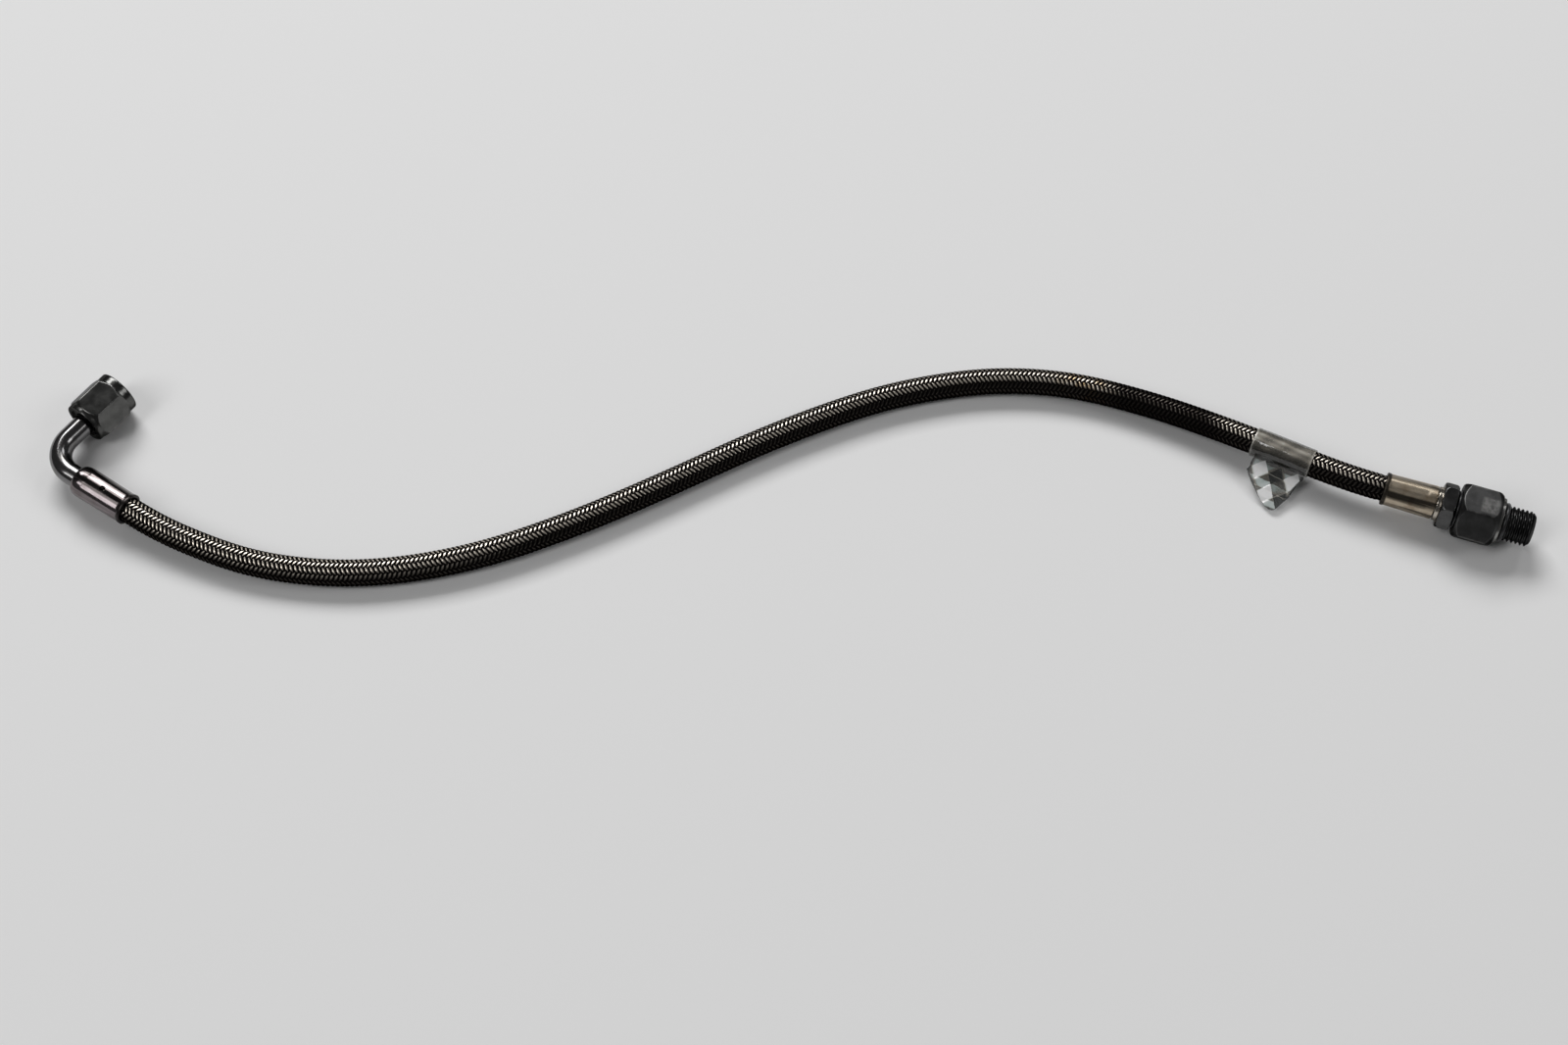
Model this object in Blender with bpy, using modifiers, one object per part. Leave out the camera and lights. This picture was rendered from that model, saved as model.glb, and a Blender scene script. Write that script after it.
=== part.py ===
"""Braided oil line for an engine, lying as it would on a bench.

A lined hose under a steel braid runs in a flat S. One end is crimped to a bent tube whose
swivel nut is held by a lock wire. The other end is crimped to a straight stem that screws
into an adapter with a male thread. Metres, +X along the line, +Z up, bench at z = 0.
"""
import math

import bmesh
import bpy
import numpy as np
from mathutils import Matrix, Vector

# Clearances
GAP = 0.0003            # left between pieces that touch on the real line
NUT_RUNNING = 0.0004    # between the swivel nut and the tube that it turns on

# Hose
HOSE_DIAMETER = 0.0096
BRAID_WALL = 0.00075
LINER_WALL = 0.0008
CRIMP_SQUEEZE = 0.00025   # how far a crimp presses the hose inwards
POINT_SPACING = 0.0185    # about two diameters
HOSE_SIDES = 12
HOSE_LEAD = 0.0029        # straight run of the hose outside either mouth
REST = 0.0001             # height of the hose's underside where it lies on the bench

# Stems that the hose is pushed over
STEM_BORE = 0.0032
STEM_BARB = 0.0045
BARB_PITCH = 0.0026
BARB_DEPTH = 0.0003
BARB_SLOPE = 0.0021       # length over which a barb falls to its root
BARB_TIP = 0.0013         # tapered end that leads the stem into the hose
BARB_COUNT = 5
STEM_COLLAR_LENGTH = 0.0016

# Elbow end: crimp sleeve, bent tube, nose and swivel nut
ELBOW_SLEEVE_LENGTH = 0.0225
ELBOW_SLEEVE_WALL = 0.00105      # beyond the hose's own radius
ELBOW_SLEEVE_LIP = 0.0038
ELBOW_SHOULDER_LENGTH = 0.003    # rounded end of the sleeve where the tube comes out
ELBOW_SHOULDER_DROP = 0.0011
SIGHT_HOLE_DIAMETER = 0.0022
SIGHT_HOLE_FROM_MOUTH = 0.0104
SIGHT_HOLE_TURN = math.radians(-3)
TUBE_DIAMETER = 0.0079
TUBE_WALL = 0.001
TUBE_BEND_RADIUS = 0.01
TUBE_BEND = math.radians(94.2)
TUBE_LEG_AT_SLEEVE = 0.0039
TUBE_LEG_AT_NUT = 0.0077
NUT_LENGTH = 0.018
NUT_FLATS = 0.0161
NUT_MOUTH_COLLAR = 0.016
NUT_MOUTH_COLLAR_LENGTH = 0.0031
NUT_REAR_COLLAR = 0.0159
NUT_REAR_COLLAR_LENGTH = 0.0016
NUT_THREAD_BORE = 0.0114
NUT_FLOOR = 0.005         # thickness of the wall that the tube passes through
NUT_RECESS = 0.0124
NUT_RECESS_DEPTH = 0.0007
NUT_EDGE = 0.0006         # rounding of the nut's two rims
NUT_SPIN = math.radians(11)
NOSE_DIAMETER = 0.0108
NOSE_LENGTH = 0.0042
NOSE_BORE = 0.0038
NOSE_MOUTH = 0.0098
NOSE_SEAT_ANGLE = math.radians(37)
NOSE_SPIGOT = 0.004
NOSE_EDGE = 0.0003
NOSE_GROOVE = 0.0019       # from the nose's back to the middle of the wire's groove
WIRE_DIAMETER = 0.0008
WIRE_RING = 0.0107
WIRE_SPREAD = math.radians(335)

# Straight end: crimp sleeve, stem and adapter
STRAIGHT_SLEEVE_LENGTH = 0.0183
STRAIGHT_MOUTH_WALL = 0.00105    # beyond the hose's own radius
STRAIGHT_SLEEVE_WALL = 0.0012
STRAIGHT_SLEEVE_LIP = 0.002
STRAIGHT_SHOULDER_LENGTH = 0.0004
STRAIGHT_SHOULDER_DROP = 0.0003
NECK_DIAMETER = 0.0121
NECK_LENGTH = 0.0013
STEM_SHANK = 0.008
STEM_HEX_FLATS = 0.0153
STEM_HEX_LENGTH = 0.005
STEM_HEX_SPIN = math.radians(12)
STEM_SHOULDER_LENGTH = 0.0017    # rounded end of the small hexagon beside the neck
STEM_SHOULDER_DROP = 0.0018
STEM_CORNER = 0.0004      # chamfer of its other end
STEM_GROOVE = 0.0014      # between the two hexagons, where the O-ring shows
STEM_THREAD = 0.011
STEM_THREAD_LENGTH = 0.0088
ADAPTER_FLATS = 0.019
ADAPTER_LENGTH = 0.014
ADAPTER_TAPER = 0.0026     # cone of its end beside the stem
ADAPTER_MOUTH = 0.018
ADAPTER_SHOULDER = 0.0178  # small end of the chamfer beside the face ring
ADAPTER_BORE = 0.0045
FACE_DIAMETER = 0.0164
FACE_LENGTH = 0.0011
PORT_NECK = 0.01
PORT_NECK_LENGTH = 0.0022
PORT_THREAD = 0.0126
PORT_THREAD_LENGTH = 0.0091
THREAD_PITCH = 0.0015
THREAD_DEPTH = 0.0008
THREAD_CREST = 0.00012     # half width of a crest
RING_CORD = 0.0017        # thickness of both O-rings
CHAMFER = math.radians(50)   # of the two large hexagons, from the plane of their ends

# Label: a clear tape round the hose with its two ends stuck together
TAPE_THICKNESS = 0.0004
TAPE_LENGTH = 0.0218
TAPE_FROM_STRAIGHT_MOUTH = 0.0262
FLAG_TILT = math.radians(17)
FLAG_DROP = 0.002         # how far below the hose's axis the flag leaves the band
FLAG_OUTLINE = [          # along the hose and away from it
    (-0.0088, 0.0), (-0.0089, -0.0030), (-0.0093, -0.0059), (-0.0021, -0.0124),
    (0.0030, -0.0156), (0.0056, -0.0159), (0.0070, -0.0125), (0.0084, -0.0093),
    (0.0092, -0.0040), (0.0105, -0.0012), (0.0104, 0.0),
]

# Crimping dies
DIE_COUNT = 8
DIE_DEPTH = 0.0003
DIE_RUN = 0.0012          # length over which a die's mark fades out
MOUTH_ROLL = 0.0004       # rolled rim at the mouth of either sleeve
BAR_LENGTH = 0.12         # of the hexagon bars that blanks are cut to

# Places on the bench. A heading is measured from +X, anticlockwise seen from above.
ELBOW_MOUTH = Vector((-0.23174, -0.01915, 0.00715))
ELBOW_HEADING = math.radians(147.6)
ELBOW_RISE = math.radians(3.0)
STRAIGHT_MOUTH = Vector((0.21096, -0.01165, ADAPTER_FLATS / 2))
STRAIGHT_HEADING = math.radians(-19.0)

# Route of the hose between the two sleeves, chosen by hand: where it passes, and how far
# its underside is off the bench
ROUTE = [
    (-0.2199, -0.0261, 0.0014), (-0.2058, -0.0326, 0.0008), (-0.1887, -0.0387, 0.0003),
    (-0.1715, -0.0421, 0.0), (-0.1544, -0.0433, 0.0), (-0.1374, -0.0423, 0.0),
    (-0.1206, -0.0394, 0.0), (-0.1038, -0.0348, 0.0), (-0.0871, -0.0285, 0.0),
    (-0.0701, -0.0210, 0.0), (-0.0531, -0.0126, 0.0), (-0.0359, -0.0036, 0.0),
    (-0.0187, 0.0056, 0.0), (-0.0012, 0.0143, 0.0), (0.0167, 0.0222, 0.0),
    (0.0348, 0.0289, 0.0), (0.0527, 0.0335, 0.0), (0.0707, 0.0362, 0.0),
    (0.0886, 0.0364, 0.0), (0.1063, 0.0340, 0.0), (0.1238, 0.0289, 0.0003),
    (0.1409, 0.0221, 0.0011), (0.1542, 0.0158, 0.0019), (0.1743, 0.0054, 0.0033),
    (0.1922, -0.0039, 0.0042),
]

STEPS = 28                # facets round a turned piece
INNER_STEPS = 22          # facets round a turned piece that lies inside another
SLEEVE_STEPS = 40         # a whole number to each die


def clear_scene():
    """Remove whatever the scene holds."""
    for old in list(bpy.data.objects):
        bpy.data.objects.remove(old, do_unlink=True)


def collection(name):
    """A new collection in the scene."""
    group = bpy.data.collections.new(name)
    bpy.context.scene.collection.children.link(group)
    return group


def material(name, colour, roughness, metallic, alpha=1.0):
    """A plain Principled material."""
    finish = bpy.data.materials.new(name)
    finish.use_nodes = True
    shader = finish.node_tree.nodes["Principled BSDF"]
    shader.inputs["Base Color"].default_value = (*colour, 1.0)
    shader.inputs["Roughness"].default_value = roughness
    shader.inputs["Metallic"].default_value = metallic
    shader.inputs["Alpha"].default_value = alpha
    return finish


def place(obj, group, finish=None, parent=None, matrix=None):
    """Put an object in its collection, under its parent, with its material."""
    group.objects.link(obj)
    if finish is not None:
        obj.data.materials.append(finish)
    obj.parent = parent
    if matrix is not None:
        obj.matrix_local = matrix
    return obj


def empty(name, group, matrix, parent=None):
    """An empty that carries the pieces of one end."""
    carrier = bpy.data.objects.new(name, None)
    return place(carrier, group, parent=parent, matrix=matrix)


def axis_matrix(origin, heading, rise=0.0):
    """A frame whose Z runs along a heading over the bench, X down and Y to its left."""
    turn = Matrix.Rotation(heading, 4, 'Z') @ Matrix.Rotation(math.pi / 2 - rise, 4, 'Y')
    return Matrix.Translation(origin) @ turn


def turned(name, outer, inner, steps=STEPS):
    """A turned ring: outer runs from top to bottom as (radius, height), inner back up."""
    points = list(outer) + list(inner)
    mesh = bpy.data.meshes.new(name)
    corners = [(radius, 0.0, height) for radius, height in points]
    edges = [(i, (i + 1) % len(points)) for i in range(len(points))]
    mesh.from_pydata(corners, edges, [])
    obj = bpy.data.objects.new(name, mesh)
    screw = obj.modifiers.new("turn", 'SCREW')
    screw.axis = 'Z'
    screw.steps = steps
    screw.render_steps = steps
    screw.use_merge_vertices = True
    screw.merge_threshold = 1e-6
    screw.use_smooth_shade = False
    return obj


def hexagon(name, flats, group, parent, spin):
    """A hexagon bar that a turned blank is cut to, with a flat facing down at no spin."""
    radius = flats / math.sqrt(3)
    bar = bmesh.new()
    bmesh.ops.create_cone(bar, cap_ends=True, segments=6, radius1=radius, radius2=radius,
                          depth=BAR_LENGTH)
    bmesh.ops.rotate(bar, verts=bar.verts, matrix=Matrix.Rotation(spin, 3, 'Z'))
    mesh = bpy.data.meshes.new(name)
    bar.to_mesh(mesh)
    bar.free()
    return guide(bpy.data.objects.new(name, mesh), group, parent)


def guide(obj, group, parent, matrix=None):
    """Mark an object as a cutter that is no part of the line."""
    obj.hide_render = True
    obj.display_type = 'WIRE'
    return place(obj, group, parent=parent, matrix=matrix)


def boolean(obj, cutter, operation):
    """Cut or join with the exact solver."""
    step = obj.modifiers.new(operation.lower(), 'BOOLEAN')
    step.operation = operation
    step.solver = 'EXACT'
    step.object = cutter
    return obj


def finish_round(obj):
    """Shade a mesh smooth between its real edges."""
    obj.data.shade_smooth()
    obj.data.set_sharp_from_angle(angle=math.radians(32))


def baked(obj):
    """The evaluated mesh of an object as plain data, with its loose caps welded."""
    bpy.context.view_layer.update()
    graph = bpy.context.evaluated_depsgraph_get()
    mesh = bpy.data.meshes.new_from_object(obj.evaluated_get(graph))
    shape = bmesh.new()
    shape.from_mesh(mesh)
    bmesh.ops.remove_doubles(shape, verts=shape.verts, dist=1e-6)
    shape.to_mesh(mesh)
    shape.free()
    return mesh


def smooth_curve(points, start, end, samples=60):
    """A C2 cubic spline through points, leaving and arriving along two unit directions."""
    knots = np.array(points, float)
    span = np.linalg.norm(np.diff(knots, axis=0), axis=1)
    count = len(knots)
    system = np.zeros((count, count))
    right = np.zeros((count, 3))
    system[0, 0] = system[-1, -1] = 1.0
    right[0], right[-1] = start, end
    for i in range(1, count - 1):
        system[i, i - 1] = span[i]
        system[i, i] = 2 * (span[i - 1] + span[i])
        system[i, i + 1] = span[i - 1]
        before = (knots[i] - knots[i - 1]) / span[i - 1]
        after = (knots[i + 1] - knots[i]) / span[i]
        right[i] = 3 * (span[i] * before + span[i - 1] * after)
    slopes = np.linalg.solve(system, right)
    u = np.linspace(0, 1, samples, endpoint=False)[:, None]
    pieces = []
    for i in range(count - 1):
        pieces.append((2 * u**3 - 3 * u**2 + 1) * knots[i] + (3 * u**2 - 2 * u**3) * knots[i + 1]
                      + (u**3 - 2 * u**2 + u) * span[i] * slopes[i]
                      + (u**3 - u**2) * span[i] * slopes[i + 1])
    return np.vstack(pieces + [knots[-1:]])


def spaced(curve, spacing):
    """Points at an even spacing along a finely drawn curve, ends included."""
    run = np.concatenate([[0], np.cumsum(np.linalg.norm(np.diff(curve, axis=0), axis=1))])
    count = max(2, round(run[-1] / spacing) + 1)
    even = np.linspace(0, run[-1], count)
    return np.column_stack([np.interp(even, run, curve[:, axis]) for axis in range(3)])


def tube(name, points, radii, wall, resolution, cap=False):
    """A curve along points with a round section, made a pipe by a wall going inwards."""
    data = bpy.data.curves.new(name, 'CURVE')
    data.dimensions = '3D'
    data.bevel_depth = 1.0
    data.bevel_resolution = resolution
    data.use_fill_caps = cap
    line = data.splines.new('POLY')
    line.points.add(len(points) - 1)
    for point, spot, radius in zip(line.points, points, radii):
        point.co = (*spot, 1.0)
        point.radius = radius
    obj = bpy.data.objects.new(name, data)
    if wall:
        shell = obj.modifiers.new("wall", 'SOLIDIFY')
        shell.thickness = wall
        shell.offset = -1
        shell.use_even_offset = True
    return obj


def barbs(seat):
    """Outer profile of a barbed stem, from its collar's face at seat down to its tip."""
    crest = STEM_BARB / 2
    root = crest - BARB_DEPTH
    profile = [(root, seat)]
    for index in range(BARB_COUNT):
        top = seat - BARB_PITCH * (index + 0.5)
        profile += [(root, top), (crest, top), (root, top - BARB_SLOPE)]
    profile.append((root - BARB_DEPTH, profile[-1][1] - BARB_TIP))
    return profile


def hose_end(sleeve_length, lip):
    """Height above a sleeve's mouth at which the hose stops against the stem's collar."""
    return sleeve_length - lip - GAP - STEM_COLLAR_LENGTH - GAP


def crimped(obj, bottom, top):
    """Press a turned sleeve between the dies: one shallow flat to each die."""
    mesh = baked(obj)
    bore = HOSE_DIAMETER / 2
    for vertex in mesh.vertices:
        radius = math.hypot(vertex.co.x, vertex.co.y)
        wall = max(0.0, radius - bore)
        inside = min(vertex.co.z - bottom, top - vertex.co.z)
        if inside <= 0 or wall == 0.0:
            continue
        turn = math.atan2(vertex.co.y, vertex.co.x) * DIE_COUNT
        press = DIE_DEPTH * min(1.0, inside / DIE_RUN) * (0.5 + 0.5 * math.cos(turn))
        vertex.co.x *= (radius - press) / radius
        vertex.co.y *= (radius - press) / radius
    sleeve = bpy.data.objects.new(obj.name, mesh)
    name = obj.name
    bpy.data.objects.remove(obj)
    sleeve.name = name
    return sleeve


def sleeve_blank(name, length, mouth_wall, body_wall, lip, lip_bore, shoulder):
    """A sleeve before crimping: rolled mouth, even body, rounded shoulder over its lip."""
    bore = HOSE_DIAMETER / 2 - CRIMP_SQUEEZE + GAP
    mouth, body = HOSE_DIAMETER / 2 + mouth_wall, HOSE_DIAMETER / 2 + body_wall
    run, drop = shoulder
    arcs = 4
    outer = []
    for step in range(arcs + 1):
        swing = step / arcs * math.pi / 2
        outer.append((body - drop * (1 - math.sin(swing)),
                      length - run * (1 - math.cos(swing))))
    crimp_top = length - lip - DIE_RUN
    crimp_bottom = DIE_RUN
    rows = 5
    for row in range(rows + 1):
        height = crimp_top + (crimp_bottom - crimp_top) * row / rows
        share = (height - crimp_bottom) / (crimp_top - crimp_bottom)
        outer.append((mouth + (body - mouth) * share, height))
    outer += [(mouth, MOUTH_ROLL), (mouth - MOUTH_ROLL, 0.0)]
    inner = [(bore + MOUTH_ROLL / 2, 0.0), (bore, MOUTH_ROLL), (bore, length - lip),
             (lip_bore / 2, length - lip), (lip_bore / 2, length)]
    return turned(name, outer, inner, SLEEVE_STEPS), crimp_bottom, crimp_top


def sight_hole(sleeve, group, parent):
    """The small hole through which the fitter sees that the hose is fully home."""
    drill = bmesh.new()
    depth = HOSE_DIAMETER
    bmesh.ops.create_cone(drill, cap_ends=True, segments=16, radius1=SIGHT_HOLE_DIAMETER / 2,
                          radius2=SIGHT_HOLE_DIAMETER / 2, depth=depth)
    mesh = bpy.data.meshes.new("sight_hole_drill")
    drill.to_mesh(mesh)
    drill.free()
    up = Matrix.Rotation(SIGHT_HOLE_TURN, 4, 'Z') @ Matrix.Rotation(-math.pi / 2, 4, 'Y')
    shift = Matrix.Translation((0, 0, SIGHT_HOLE_FROM_MOUTH))
    reach = Matrix.Translation((0, 0, HOSE_DIAMETER / 2 - CRIMP_SQUEEZE + depth / 2))
    cutter = bpy.data.objects.new("sight_hole_drill", mesh)
    guide(cutter, group, parent, shift @ up @ reach)
    return boolean(sleeve, cutter, 'DIFFERENCE')


def build_elbow(parts, cutters, steel, bright, dark):
    """The bent end: sleeve, barbed stem, bent tube, nose, lock wire and swivel nut."""
    end = empty("elbow_end", parts, axis_matrix(ELBOW_MOUTH, ELBOW_HEADING, ELBOW_RISE))
    tube_bore = TUBE_DIAMETER - 2 * TUBE_WALL
    spigot = tube_bore / 2 - GAP
    lip_bore = TUBE_DIAMETER + 2 * GAP

    blank, low, high = sleeve_blank("elbow_sleeve", ELBOW_SLEEVE_LENGTH, ELBOW_SLEEVE_WALL,
                                    ELBOW_SLEEVE_WALL, ELBOW_SLEEVE_LIP, lip_bore,
                                    (ELBOW_SHOULDER_LENGTH, ELBOW_SHOULDER_DROP))
    sleeve = crimped(blank_in(blank, cutters), low, high)
    place(sleeve, parts, bright, end)
    sight_hole(sleeve, cutters, end)
    finish_round(sleeve)

    collar_top = ELBOW_SLEEVE_LENGTH - ELBOW_SLEEVE_LIP - GAP
    collar_bottom = collar_top - STEM_COLLAR_LENGTH
    tip = collar_top + ELBOW_SLEEVE_LIP + TUBE_LEG_AT_SLEEVE / 2
    collar = HOSE_DIAMETER / 2 - CRIMP_SQUEEZE
    outer = [(spigot, tip), (spigot, collar_top), (collar, collar_top),
             (collar, collar_bottom)] + barbs(collar_bottom)
    inner = [(STEM_BORE / 2, outer[-1][1]), (STEM_BORE / 2, tip)]
    stem = turned("elbow_stem", outer, inner, INNER_STEPS)
    place(stem, parts, steel, end)

    tube_start = collar_top + GAP
    tangent = TUBE_BEND_RADIUS * math.tan(TUBE_BEND / 2)
    bend_start = ELBOW_SLEEVE_LENGTH + TUBE_LEG_AT_SLEEVE
    corner = bend_start + tangent
    path = [(0, 0, tube_start)]
    arcs = 12
    for step in range(arcs + 1):
        swing = TUBE_BEND * step / arcs
        path.append((0, -TUBE_BEND_RADIUS * (1 - math.cos(swing)),
                     bend_start + TUBE_BEND_RADIUS * math.sin(swing)))
    heading = Vector((0, -math.sin(TUBE_BEND), math.cos(TUBE_BEND)))
    nut_rear = Vector((0, 0, corner)) + heading * (tangent + TUBE_LEG_AT_NUT)
    path.append(nut_rear + heading * NUT_FLOOR)
    pipe = tube("elbow_tube", path, [TUBE_DIAMETER / 2] * len(path), TUBE_WALL, 8)
    place(pipe, parts, bright, end)

    swivel = empty("swivel", parts, Matrix.Translation(nut_rear)
                   @ Matrix.Rotation(TUBE_BEND, 4, 'X'), end)
    build_nose(parts, swivel, steel, spigot)
    build_nut(parts, cutters, swivel, dark)
    return end


def wire_groove():
    """Heights and radii of the two half grooves that the lock wire sits in."""
    middle = NUT_FLOOR + GAP + NOSE_GROOVE
    half = WIRE_DIAMETER / 2 + GAP
    return middle, half, WIRE_RING / 2 - half, WIRE_RING / 2 + half


def build_nose(parts, swivel, steel, spigot):
    """The nose brazed into the tube, with its conical seat, and the wire round it."""
    middle, half, inside, _ = wire_groove()
    back = NUT_FLOOR + GAP
    front = back + NOSE_LENGTH
    bottom = back - NOSE_SPIGOT
    seat = (NOSE_MOUTH - NOSE_BORE) / 2 / math.tan(NOSE_SEAT_ANGLE)
    outer = [(NOSE_DIAMETER / 2 - NOSE_EDGE, front), (NOSE_DIAMETER / 2, front - NOSE_EDGE),
             (NOSE_DIAMETER / 2, middle + half), (inside, middle + half),
             (inside, middle - half), (NOSE_DIAMETER / 2, middle - half),
             (NOSE_DIAMETER / 2, back), (spigot, back), (spigot, bottom)]
    inner = [(NOSE_BORE / 2, bottom), (NOSE_BORE / 2, front - seat), (NOSE_MOUTH / 2, front)]
    nose = turned("nose", outer, inner, INNER_STEPS)
    place(nose, parts, steel, swivel)

    points = []
    turns = 20
    for step in range(turns + 1):
        swing = WIRE_SPREAD * step / turns
        points.append((WIRE_RING / 2 * math.cos(swing), WIRE_RING / 2 * math.sin(swing), middle))
    wire = tube("lock_wire", points, [WIRE_DIAMETER / 2] * len(points), 0, 2, cap=True)
    place(wire, parts, steel, swivel)


def build_nut(parts, cutters, swivel, dark):
    """The swivel nut: a turned blank cut to a hexagon, so its flats carry chamfer arcs."""
    middle, half, _, outside = wire_groove()
    clear = NUT_FLATS / math.sqrt(3) + GAP
    chamfer = math.tan(CHAMFER)
    mouth, rear = NUT_MOUTH_COLLAR / 2, NUT_REAR_COLLAR / 2
    top = NUT_LENGTH - NUT_MOUTH_COLLAR_LENGTH
    low = NUT_REAR_COLLAR_LENGTH
    lip = NUT_EDGE * (1 - math.sqrt(0.5))
    outer = [(mouth - NUT_EDGE, NUT_LENGTH), (mouth - lip, NUT_LENGTH - lip),
             (mouth, NUT_LENGTH - NUT_EDGE), (mouth, top),
             (clear, top - (clear - mouth) * chamfer),
             (clear, low + (clear - rear) * chamfer),
             (rear, low), (rear, NUT_EDGE), (rear - NUT_EDGE, 0)]
    hole = TUBE_DIAMETER / 2 + NUT_RUNNING
    inner = [(NUT_RECESS / 2, 0), (NUT_RECESS / 2, NUT_RECESS_DEPTH), (hole, NUT_RECESS_DEPTH),
             (hole, NUT_FLOOR), (NUT_THREAD_BORE / 2, NUT_FLOOR),
             (NUT_THREAD_BORE / 2, middle - half), (outside, middle - half),
             (outside, middle + half), (NUT_THREAD_BORE / 2, middle + half),
             (NUT_THREAD_BORE / 2, NUT_LENGTH - THREAD_DEPTH),
             (NUT_THREAD_BORE / 2 + THREAD_DEPTH, NUT_LENGTH)]
    nut = turned("swivel_nut", outer, inner)
    place(nut, parts, dark, swivel)
    bar = hexagon("nut_bar", NUT_FLATS, cutters, swivel, NUT_SPIN)
    boolean(nut, bar, 'INTERSECT')


def build_straight(parts, cutters, steel, bright, dark, rubber):
    """The straight end: sleeve, barbed stem with its hexagon, adapter and two O-rings."""
    end = empty("straight_end", parts, axis_matrix(STRAIGHT_MOUTH, STRAIGHT_HEADING))
    blank, low, high = sleeve_blank("straight_sleeve", STRAIGHT_SLEEVE_LENGTH,
                                    STRAIGHT_MOUTH_WALL, STRAIGHT_SLEEVE_WALL,
                                    STRAIGHT_SLEEVE_LIP, STEM_SHANK + 2 * GAP,
                                    (STRAIGHT_SHOULDER_LENGTH, STRAIGHT_SHOULDER_DROP))
    sleeve = crimped(blank_in(blank, cutters), low, high)
    place(sleeve, parts, bright, end)
    finish_round(sleeve)

    hex_bottom = STRAIGHT_SLEEVE_LENGTH + GAP + NECK_LENGTH
    hex_top = hex_bottom + STEM_HEX_LENGTH
    adapter_bottom = hex_top + STEM_GROOVE
    build_stem(parts, cutters, end, steel, hex_bottom, hex_top, adapter_bottom)
    build_adapter(parts, cutters, end, dark, adapter_bottom)

    face = adapter_bottom + ADAPTER_LENGTH + FACE_LENGTH
    ring("stem_o_ring", STEM_THREAD / 2 - THREAD_DEPTH, hex_top, parts, end, rubber)
    ring("port_o_ring", PORT_NECK / 2, face, parts, end, rubber)
    return end


def build_stem(parts, cutters, end, steel, hex_bottom, hex_top, adapter_bottom):
    """The straight stem: barbs in the hose, shank, bright neck, hexagon and male thread."""
    collar_top = STRAIGHT_SLEEVE_LENGTH - STRAIGHT_SLEEVE_LIP - GAP
    collar_bottom = collar_top - STEM_COLLAR_LENGTH
    corner = STEM_HEX_FLATS / math.sqrt(3)
    collar = HOSE_DIAMETER / 2 - CRIMP_SQUEEZE
    root = STEM_THREAD / 2 - THREAD_DEPTH
    tip = adapter_bottom + STEM_THREAD_LENGTH
    neck_start = STRAIGHT_SLEEVE_LENGTH + GAP
    middle = 1 - math.sqrt(0.5)
    outer = [(root, tip), (STEM_THREAD / 2, tip - THREAD_DEPTH),
             (STEM_THREAD / 2, adapter_bottom + RING_CORD), (root, adapter_bottom + RING_CORD),
             (root, hex_top), (corner - STEM_CORNER * 2, hex_top),
             (corner, hex_top - STEM_CORNER), (corner, hex_bottom + STEM_SHOULDER_LENGTH),
             (corner - STEM_SHOULDER_DROP * middle, hex_bottom + STEM_SHOULDER_LENGTH * middle),
             (corner - STEM_SHOULDER_DROP, hex_bottom), (NECK_DIAMETER / 2, hex_bottom),
             (NECK_DIAMETER / 2, neck_start), (STEM_SHANK / 2, neck_start),
             (STEM_SHANK / 2, collar_top), (collar, collar_top), (collar, collar_bottom)]
    outer += barbs(collar_bottom)
    inner = [(STEM_BORE / 2, outer[-1][1]), (STEM_BORE / 2, tip)]
    stem = turned("straight_stem", outer, inner)
    place(stem, parts, steel, end)
    bar = hexagon("stem_bar", STEM_HEX_FLATS, cutters, end, STEM_HEX_SPIN)
    boolean(stem, bar, 'INTERSECT')


def thread_crests(bottom, top):
    """Crests of a male thread as (radius, height) from top to bottom; its lead is left out."""
    crest = PORT_THREAD / 2
    root = crest - THREAD_DEPTH
    count = int((top - bottom) / THREAD_PITCH)
    profile = [(root, top)]
    for index in range(count):
        middle = top - THREAD_PITCH * (index + 0.5)
        profile += [(crest, middle + THREAD_CREST), (crest, middle - THREAD_CREST),
                    (root, middle - THREAD_PITCH / 2)]
    return profile


def build_adapter(parts, cutters, end, dark, bottom):
    """The adapter: female port towards the stem, hexagon, O-ring neck and male thread."""
    clear = ADAPTER_FLATS / math.sqrt(3) + GAP
    hex_top = bottom + ADAPTER_LENGTH
    face = hex_top + FACE_LENGTH
    neck_top = face + PORT_NECK_LENGTH
    tip = neck_top + PORT_THREAD_LENGTH
    shoulder = ADAPTER_SHOULDER / 2
    outer = thread_crests(neck_top, tip)
    outer += [(PORT_NECK / 2, outer[-1][1]), (PORT_NECK / 2, face), (FACE_DIAMETER / 2, face),
              (FACE_DIAMETER / 2, hex_top), (shoulder, hex_top),
              (clear, hex_top - (clear - shoulder) * math.tan(CHAMFER)),
              (clear, bottom + ADAPTER_TAPER), (ADAPTER_MOUTH / 2, bottom)]
    port = STEM_THREAD / 2 + GAP
    seat = STEM_THREAD / 2 - THREAD_DEPTH + RING_CORD + 2 * GAP
    seat_depth = RING_CORD + 2 * GAP - STEM_GROOVE
    floor = bottom + STEM_THREAD_LENGTH + GAP
    bore = ADAPTER_BORE / 2
    inner = [(seat, bottom), (seat, bottom + seat_depth), (port, bottom + seat_depth),
             (port, floor), (bore, floor), (bore, tip)]
    adapter = turned("adapter", outer, inner)
    place(adapter, parts, dark, end)
    bar = hexagon("adapter_bar", ADAPTER_FLATS, cutters, end, 0.0)
    boolean(adapter, bar, 'INTERSECT')


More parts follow.
